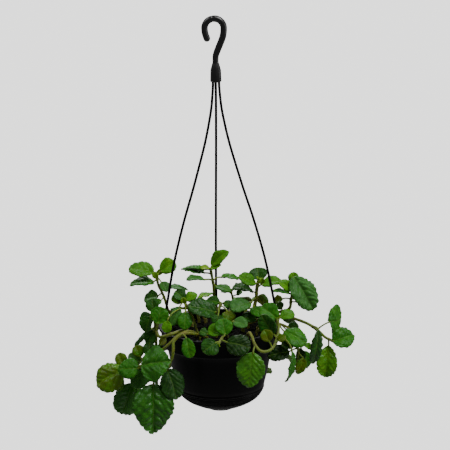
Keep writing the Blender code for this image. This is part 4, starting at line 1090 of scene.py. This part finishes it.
def margin(size, width, ends, teeth, depth, draw):
    """One side of the blade's edge from base to tip in the blade's plane, with its uneven, rounded teeth."""
    u = 0.5 - 0.5 * np.cos(np.linspace(0, np.pi, MARGIN_POINTS))
    half = u ** ends[0] * (1 - u) ** ends[1]
    half *= width / 2 / half.max()
    x = u * size
    arc = np.concatenate([[0], np.cumsum(np.hypot(np.diff(x), np.diff(half)))])
    marks = np.linspace(0, arc[-1], teeth * TOOTH_POINTS + 1)
    xs, ys = np.interp(marks, arc, x), np.interp(marks, arc, half)
    tx, ty = np.gradient(xs), np.gradient(ys)
    pace = np.hypot(tx, ty) + 1e-9
    part = marks / arc[-1]
    phase = part * (teeth + 0.5) + 0.3 * np.sin(part * 9.0 + draw.uniform(0, math.tau))
    uneven = 0.8 + 0.3 * np.sin(phase * 1.3 + draw.uniform(0, math.tau))
    lobe = np.abs(np.sin(np.pi * phase)) ** 0.8 - 0.7
    fade = np.clip((phase - 0.4) / 1.6, 0, 1)
    dent = draw.uniform(0.0, 0.035) * width * np.exp(-((part - draw.uniform(0.3, 0.8)) / 0.09) ** 2)
    push = depth * uneven * lobe * fade - dent
    xs = xs - ty / pace * push
    ys = ys + tx / pace * push
    xs[0] = ys[0] = ys[-1] = 0.0
    return xs, np.maximum(ys, 0.0)


def blade_rings(size, width, ends, tooth, depth, draw):
    """Rings of points in the blade's plane, from the midrib out to the toothed edge."""
    teeth = max(5, round(math.hypot(size, width * 0.7) * 1.08 / tooth))
    lean = draw.uniform(-0.05, 0.05)
    xs, ys = margin(size, width * (1 + lean), ends, teeth, depth, draw)
    far_xs, far_ys = margin(size, width * (1 - lean), ends, teeth, depth, draw)
    far_xs[-1] = xs[-1]
    count = len(xs) - 1
    rib_x = size * (0.03 + 0.94 * (0.82 * (xs / size) + 0.18 * np.linspace(0, 1, count + 1)))
    layers = int(np.clip(round(width / 2.9), 5, 14))
    reach = np.linspace(0, 1, layers + 1) ** 1.1
    reach[0] = 0.015
    rings = []
    for t in reach:
        x, far_x = rib_x * (1 - t) + xs * t, rib_x * (1 - t) + far_xs * t
        ring_x = np.concatenate([x, far_x[-2:0:-1]])
        ring_y = np.concatenate([ys * t, -far_ys[-2:0:-1] * t])
        rings.append(np.stack([ring_x, ring_y, np.full(len(ring_x), t)], 1))
    return rings, count


def blade_faces(rings, around, count):
    """Faces of a closed blade: both sides ring by ring, a strip along the midrib, and the rim."""
    total = rings * around
    rim = total - around
    faces = []
    for ring in range(0, rim, around):
        for k in range(around):
            a, b = ring + k, ring + (k + 1) % around
            c, d = b + around, a + around
            faces += [(a, b, c, d), (total + d, total + c, total + b, total + a)]
    for k in range(count):
        strip = tuple(dict.fromkeys([k, -k % around, -(k + 1) % around, k + 1]))
        faces += [strip, tuple(total + v for v in strip[::-1])]
    for k in range(around):
        n = (k + 1) % around
        faces += [(rim + k, rim + n, 2 * total + n, 2 * total + k),
                  (2 * total + k, 2 * total + n, total + rim + n, total + rim + k)]
    return faces


def held_inside(points, base):
    """The points of a blade, drawn in towards its base where they would leave the solids' own box."""
    low, high = ((np.array(corner) / MM - (AXIS_X, 0, -HANG_DROP)) for corner in CAD_BOX)
    for axis in range(3):
        for edge, sign in ((low[axis] + GAP / 2, -1), (high[axis] - GAP / 2, 1)):
            reach = sign * (points[:, axis] - base[axis])
            room = sign * (edge - base[axis])
            if reach.max() > room:
                reach = np.where(reach > 0, reach * room / reach.max(), reach)
                points[:, axis] = base[axis] + sign * reach
    return points


def blade_height(x, y, t, size, width, rise, draw):
    """Height of the blade's middle surface, with the phase of its side veins and their spacing."""
    sizes = settings().leaf
    turns = [draw.uniform(0, math.tau) for _ in range(8)]
    u = x / size
    hand = np.where(y > 0, 1.0, -1.0)
    reach = np.abs(y)
    # arch from base to tip, and cup from side to side
    height = BLADE_ARCH * size * u * (1 - u)
    height += rise * BLADE_CUP * (np.sqrt(y ** 2 + 1.0) - 1.0)
    # swellings between the side veins, which run forward from the midrib
    pairs = int(np.clip(round(size / 9.5), 3, 5))
    spacing = size / (pairs + 1.3)
    phase = (x - 0.8 * reach - 0.9 * y ** 2 / width) / spacing + 0.35 + 0.11 * hand
    phase = phase + 0.12 * np.sin(reach * 0.42 + turns[0]) + 0.1 * np.sin(x * 0.31 + turns[1] * hand)
    swell = sizes.relief / MM * min(2.2, max(0.15, (size / 36.0) ** 1.7))
    calm = (1 - np.exp(-(y / 2.4) ** 2)) * (1 - 0.5 * t ** 4)
    patchy = 0.7 + 0.3 * np.sin(x * 0.37 + turns[3]) * np.sin(y * 0.33 + turns[5])
    height += swell * np.abs(np.sin(np.pi * phase)) ** 1.3 * calm * patchy
    # uneven puckering, and folds that fan out from the base of large blades
    pucker = np.sin(x * 0.62 + turns[2]) * np.sin(y * 0.55 + turns[3])
    pucker += 0.6 * np.sin((x + y) * 0.9 + turns[4]) * np.sin((x - y) * 0.8 + turns[5])
    height += sizes.pucker / MM * min(1.0, width / 26.0) * pucker * (0.35 + 0.65 * t)
    fan = np.arctan2(reach, x + 0.25 * size) * 7.0 + turns[2] * hand
    height += swell * 0.7 * min(1.0, width / 34.0) ** 3 * np.sin(fan) * calm * np.clip(u * 4, 0, 1)
    # slow waves along the edge, which droops
    along = u * math.tau
    waves = (np.sin(along * 0.9 + turns[6] + hand * turns[1])
             + 0.6 * np.sin(along * 1.9 + turns[7] + hand * turns[4]))
    height += sizes.wave * width * min(1.4, max(0.6, size / 40.0)) * t ** 2 * waves
    height -= draw.uniform(0.0, 0.07) * width * t ** 4
    # each half rises steeply from the midrib and levels out towards its edge
    halves = 1 - np.exp(-reach / (0.2 * width))
    middle = np.clip(6 * u, 0, 1) * np.clip(6 * (1 - u), 0, 1)
    uneven = 1 + 0.4 * np.sin(x * 0.25 + turns[6] + hand)
    height += sizes.fold * width * uneven * (halves - 0.5 * middle)
    # the tip droops or lifts
    height -= draw.uniform(-0.15, 0.4) * size * np.maximum(0, u - 0.6) ** 2
    return height, phase, spacing


def blade_shape(leaf, shift, look, draw):
    """One thick blade, as a bundle takes it: points, faces and what its finish reads."""
    sizes = settings().leaf
    axis, side, up, size = leaf_axes(leaf)
    width, rise = leaf[3], leaf[5]
    small = min(1.0, size / 22.0)
    tooth = sizes.tooth / MM * (0.6 + 0.4 * small + 0.25 * share(size, 22, 42))
    depth = sizes.tooth_depth / MM * max(0.22, share(size, 8, 52))
    # how the blade narrows to its base and to its tip: 0.5 is round, 1 is straight-sided
    ends = (0.6, 0.82) if size > 60 else (draw.uniform(0.5, 0.68), draw.uniform(0.46, 0.7))
    rings, count = blade_rings(size, width * BLADE_SPREAD, ends, tooth, depth, draw)
    around = len(rings[0])
    x, y, t = np.concatenate(rings).T
    height, phase, spacing = blade_height(x, y, t, size, width, rise, draw)
    thick = sizes.thickness / MM * (0.6 + 0.4 * small) * (1 - 0.3 * t ** 2) / 2
    rib = np.exp(-(y / 1.5) ** 2) * np.clip(1.2 - x / size, 0.15, 1.0)
    vein = np.cos(np.pi * phase) ** 12 * (1 - 0.7 * t)
    groove = sizes.groove / MM * small
    top = height + thick - groove * rib - 0.22 * small * vein
    bottom = height - thick - 1.1 * groove * rib - 0.3 * small * vein
    centre = np.array(leaf[1]) + (0, shift, 0)
    axes = np.array([axis, side, up])
    upper, lower = (centre + np.stack([x, y, heights], 1) @ axes for heights in (top, bottom))

    # the rim bulges out a little between the two sides
    run = np.roll(rings[-1][:, :2], 1, 0) - np.roll(rings[-1][:, :2], -1, 0)
    out = np.stack([-run[:, 1], run[:, 0]], 1)
    out /= np.linalg.norm(out, axis=1, keepdims=True) + 1e-9
    middle = (upper[-around:] + lower[-around:]) / 2 + (out * RIM_BULGE) @ axes[:2]
    points = held_inside(np.concatenate([upper, lower, middle]), centre)

    age, olive, hair_and_painted_sheen = LOOKS[look]
    odd = draw.random()
    age = share(age + draw.uniform(-0.05, 0.05), 0, 1)
    total = len(upper)
    blade = np.stack([x, y, phase, t], 1)
    skin = np.zeros((len(points), 3))
    skin[total:2 * total, 0] = 1.0
    skin[2 * total:, 0] = 0.4
    # how grey with hairs the leaf is, partly painted sheen
    skin[:, 1] = hair_and_painted_sheen
    skin[:, 2] = share(size, 28, 48) * (1 - hair_and_painted_sheen)
    return {"points": points, "faces": blade_faces(len(rings), around, count),
            "blade": np.concatenate([blade, blade, blade[-around:]]),
            "look": np.tile([age, olive, odd, spacing], (len(points), 1)), "skin": skin}


def stalk_line(start, base, axis):
    """The stalk's middle line: it leaves the stem, sags a little and meets the midrib straight."""
    run = base - start
    onset = start + run * 0.35 + Vector((0, 0, 0.12 * run.length))
    arrive = base - axis * (0.28 * run.length + STALK_TUCK)
    line = []
    for k in range(STALK_SPANS + 1):
        t = k / STALK_SPANS
        s = 1 - t
        line.append(s ** 3 * start + 3 * s ** 2 * t * onset + 3 * s * t * t * arrive + t ** 3 * base)
    return line


class Bundle:
    """The growing mesh of one leafy stem, with what its finishes read at each point."""

    def __init__(self):
        self.points, self.faces, self.slots, self.count = [], [], [], 0
        self.layers = {key: [] for key in LAYERS}

    def add(self, slot, points, faces, **values):
        """Add a closed shape in the finish of that slot; layers that aren't given are nought."""
        self.points.append(np.asarray(points, float))
        self.faces += [tuple(v + self.count for v in face) for face in faces]
        self.slots += [slot] * len(faces)
        self.count += len(points)
        for key, (_, _, wide) in LAYERS.items():
            self.layers[key].append(values.get(key, np.zeros((len(points), wide))))

    def piece(self, name):
        """The finished piece, with blades and stems as its two finishes."""
        made = new_piece(name, np.concatenate(self.points), self.faces, "blade")
        made.data.materials.append(finish("stem"))
        made.data.polygons.foreach_set("material_index", self.slots)
        for key, (kind, field, _) in LAYERS.items():
            layer = made.data.attributes.new(key, kind, "POINT")
            layer.data.foreach_set(field, np.concatenate(self.layers[key]).astype(np.float32).ravel())
        return made


def to_joint(point, joints):
    """The distance from a point to the nearest joint, as far as a joint reaches."""
    return min([(point - joint).length for joint in joints] + [JOINT_REACH])


def add_tube(bundle, line, radii, sides, square, age, joints):
    """A stem or stalk: a tube whose finish reads how old it is and how close to a joint."""
    looks = []
    for i, point in enumerate(line):
        blush = 0.35 * math.exp(-(to_joint(point, joints) / 1.6) ** 2)
        looks += [[age * (1 - 0.75 * i / len(line)), blush, 0.0, 0.0]] * sides
    bundle.add(STEM_SLOT, *sweep(line, radii, sides, square), look=np.array(looks))


def add_stem(bundle, radius, line, joints):
    """The stem: square in section, swollen at its joints, rooted deep in the soil."""
    full = radius * (settings().leaf.swelling if radius <= THIN_STEM else 1.0)
    radii = []
    for i, point in enumerate(line):
        knobbly = 1 + 0.05 * noise.noise(point / 5.0) + 0.2 * math.exp(-(to_joint(point, joints) / 2.0) ** 2)
        radii.append(full * (1 - STEM_TAPER * i / (len(line) - 1)) * knobbly)
    line = list(line)
    domed(line, radii, radii[-1], 3)
    add_tube(bundle, line, radii, STEM_SIDES, 0.12, 1.0, joints)


def add_stalk(bundle, line, radius, age):
    """A leaf stalk: thin, a little thicker where it meets the stem and the blade."""
    count = len(line) - 1
    radii = [radius * (0.82 + 0.3 * abs(2 * k / count - 1) ** 3) for k in range(count)] + [radius * 0.6]
    add_tube(bundle, line, radii, STALK_SIDES, 0.1, age, line[:1])


def add_buds(bundle, line, draw):
    """The shoot's growing tip: two tiny pairs of leaves."""
    end = line[-1]
    onward = (end - line[-2]).normalized()
    across = onward.orthogonal().normalized()
    for turn in range(4):
        out = Matrix.Rotation(math.pi / 2 * turn + 0.5, 3, onward) @ across
        size, spread = (5.4, 0.9) if turn % 2 else (3.8, 0.45)
        heading = (onward * 1.1 + out * spread).normalized()
        base = end - onward * 0.6
        leaf = (1.0, tuple(base), tuple(base + heading * size), size * 0.66, tuple(onward - out * 0.6), 0.35)
        bundle.add(BLADE_SLOT, **blade_shape(leaf, 0, "y", draw))


def make_leafy_stem(name, shoot, looks, seed):
    """One leafy stem: stem, stalks and blades, standing for the solid of that name."""
    radius, route, leaves = shoot
    corners = corner_tree(name)
    route = [Vector(p) for p in route]
    line = curve_through(route, STEM_STEPS)
    root = route[0] - Vector((0, 0, ROOT_DEPTH))
    stalk = settings().leaf.stalk_radius / MM
    bundle = Bundle()
    joints = []
    for i, leaf in enumerate(leaves):
        shift = depth_shift(leaf, corners)
        axis, _, up, size = leaf_axes(leaf)
        base = Vector(leaf[1]) + Vector((0, shift, 0))
        start = stalk_start(base, axis, leaf[0], route)
        start = min(line, key=lambda p: (p - start).length_squared)
        joints.append(start)
        inner = base + axis * min(2.5, 0.2 * size) + up * (BLADE_ARCH * 2.0 - 0.5)
        slim = stalk * (0.72 + 0.28 * min(1.0, size / 24))
        add_stalk(bundle, stalk_line(start, inner, axis), slim, 0.35 if looks[i] in "yb" else 0.7)
        bundle.add(BLADE_SLOT, **blade_shape(leaf, shift, looks[i], random.Random(seed * 100 + i)))
    add_stem(bundle, radius, [root, root.lerp(route[0], 0.5)] + line, joints)
    add_buds(bundle, line, random.Random(seed * 100 + BUD_SEED))
    stand_for(bundle.piece("leafy_stem_" + name), name)


# Stage


def make_stage():
    """Pale round paper floor, the white room as the world, soft lights and the camera."""
    s = settings().stage
    bpy.ops.mesh.primitive_circle_add(vertices=96, radius=s.floor_radius, fill_type="NGON",
                                      location=(0, 0, -s.floor_drop))
    floor = bpy.context.object
    floor.name = "paper_floor"
    floor.data.materials.append(finish("paper"))

    scene = bpy.context.scene
    scene.world = bpy.data.worlds.new("soft_room")
    scene.world.use_nodes = True
    tree = scene.world.node_tree
    strength = add_node(tree, "MapRange", (add_node(tree, "LightPath"), 0.0, 1.0, s.sky, s.surround))
    feed(tree.nodes["Background"], {"Color": (1.0, 1.0, 0.99, 1), "Strength": strength})

    for name, (place, side) in LIGHTS.items():
        data = bpy.data.lights.new(name + "_light", "AREA")
        data.size = side
        data.energy = getattr(s, name + "_power")
        light = bpy.data.objects.new(data.name, data)
        light.location = place
        light.rotation_euler = (Vector(LIGHT_AIM) - light.location).to_track_quat("-Z", "Y").to_euler()
        scene.collection.objects.link(light)

    forward = Vector((0, math.cos(s.pitch), -math.sin(s.pitch)))
    level, upright = Vector((1, 0, 0)), Vector((0, math.sin(s.pitch), math.cos(s.pitch)))
    right = level * math.cos(s.roll) - upright * math.sin(s.roll)
    above = upright * math.cos(s.roll) + level * math.sin(s.roll)
    data = bpy.data.cameras.new("photo_camera")
    data.lens = s.lens
    scene.camera = bpy.data.objects.new("photo_camera", data)
    scene.camera.matrix_world = (Matrix.Translation(CAMERA_PLACE)
                                 @ Matrix((right, above, -forward)).transposed().to_4x4())
    scene.collection.objects.link(scene.camera)


# Operators and panel


class BASKET_OT_stage(bpy.types.Operator):
    """Add the floor, backdrop, lights and camera"""
    bl_idname = "basket.add_stage"
    bl_label = "Stage"

    def execute(self, context):
        make_stage()
        return {"FINISHED"}


class BASKET_OT_hanger(bpy.types.Operator):
    """Add the hook and its three strands"""
    bl_idname = "basket.add_hanger"
    bl_label = "Hook and strands"

    def execute(self, context):
        make_hook()
        make_strands()
        return {"FINISHED"}


class BASKET_OT_pot(bpy.types.Operator):
    """Add the pot and its clip-on saucer"""
    bl_idname = "basket.add_pot"
    bl_label = "Pot and saucer"

    def execute(self, context):
        make_pot()
        make_saucer()
        return {"FINISHED"}


class BASKET_OT_soil(bpy.types.Operator):
    """Fill the pot with soil"""
    bl_idname = "basket.add_soil"
    bl_label = "Soil"

    def execute(self, context):
        make_soil()
        return {"FINISHED"}


class BASKET_OT_plant(bpy.types.Operator):
    """Add every leafy stem"""
    bl_idname = "basket.add_plant"
    bl_label = "Leafy stems"

    def execute(self, context):
        shoots = {**SHOOTS, **rear_shoots()}
        for seed, (name, shoot) in enumerate(shoots.items()):
            make_leafy_stem(name, shoot, LEAF_LOOKS.get(name, LEAF_LOOKS["rear"]), seed + 1)
        return {"FINISHED"}


class BASKET_PT_panel(bpy.types.Panel):
    """Every size, colour and piece of the basket"""
    bl_idname = "BASKET_PT_panel"
    bl_label = "Hanging basket"
    bl_space_type = "VIEW_3D"
    bl_region_type = "UI"
    bl_category = "Basket"

    def draw(self, context):
        basket = context.scene.basket
        for group in (basket.hanger, basket.pot, basket.leaf, basket.soil, basket.stage, basket.colours):
            box = self.layout.box()
            for key in group.__annotations__:
                box.prop(group, key)
        for operator in OPERATORS:
            self.layout.operator(operator.bl_idname)


OPERATORS = (BASKET_OT_stage, BASKET_OT_hanger, BASKET_OT_pot, BASKET_OT_soil, BASKET_OT_plant)
CLASSES = (HangerSizes, PotSizes, LeafSizes, SoilSizes, StageSizes, FinishColours, BasketSettings,
           *OPERATORS, BASKET_PT_panel)


def register():
    for cls in CLASSES:
        bpy.utils.register_class(cls)
    bpy.types.Scene.basket = PointerProperty(type=BasketSettings)


def unregister():
    del bpy.types.Scene.basket
    for cls in reversed(CLASSES):
        bpy.utils.unregister_class(cls)


def main():
    """Register the add-on and build every piece."""
    register()
    bpy.ops.basket.add_stage()
    bpy.ops.basket.add_hanger()
    bpy.ops.basket.add_pot()
    bpy.ops.basket.add_soil()
    bpy.ops.basket.add_plant()


if __name__ == "__main__":
    main()
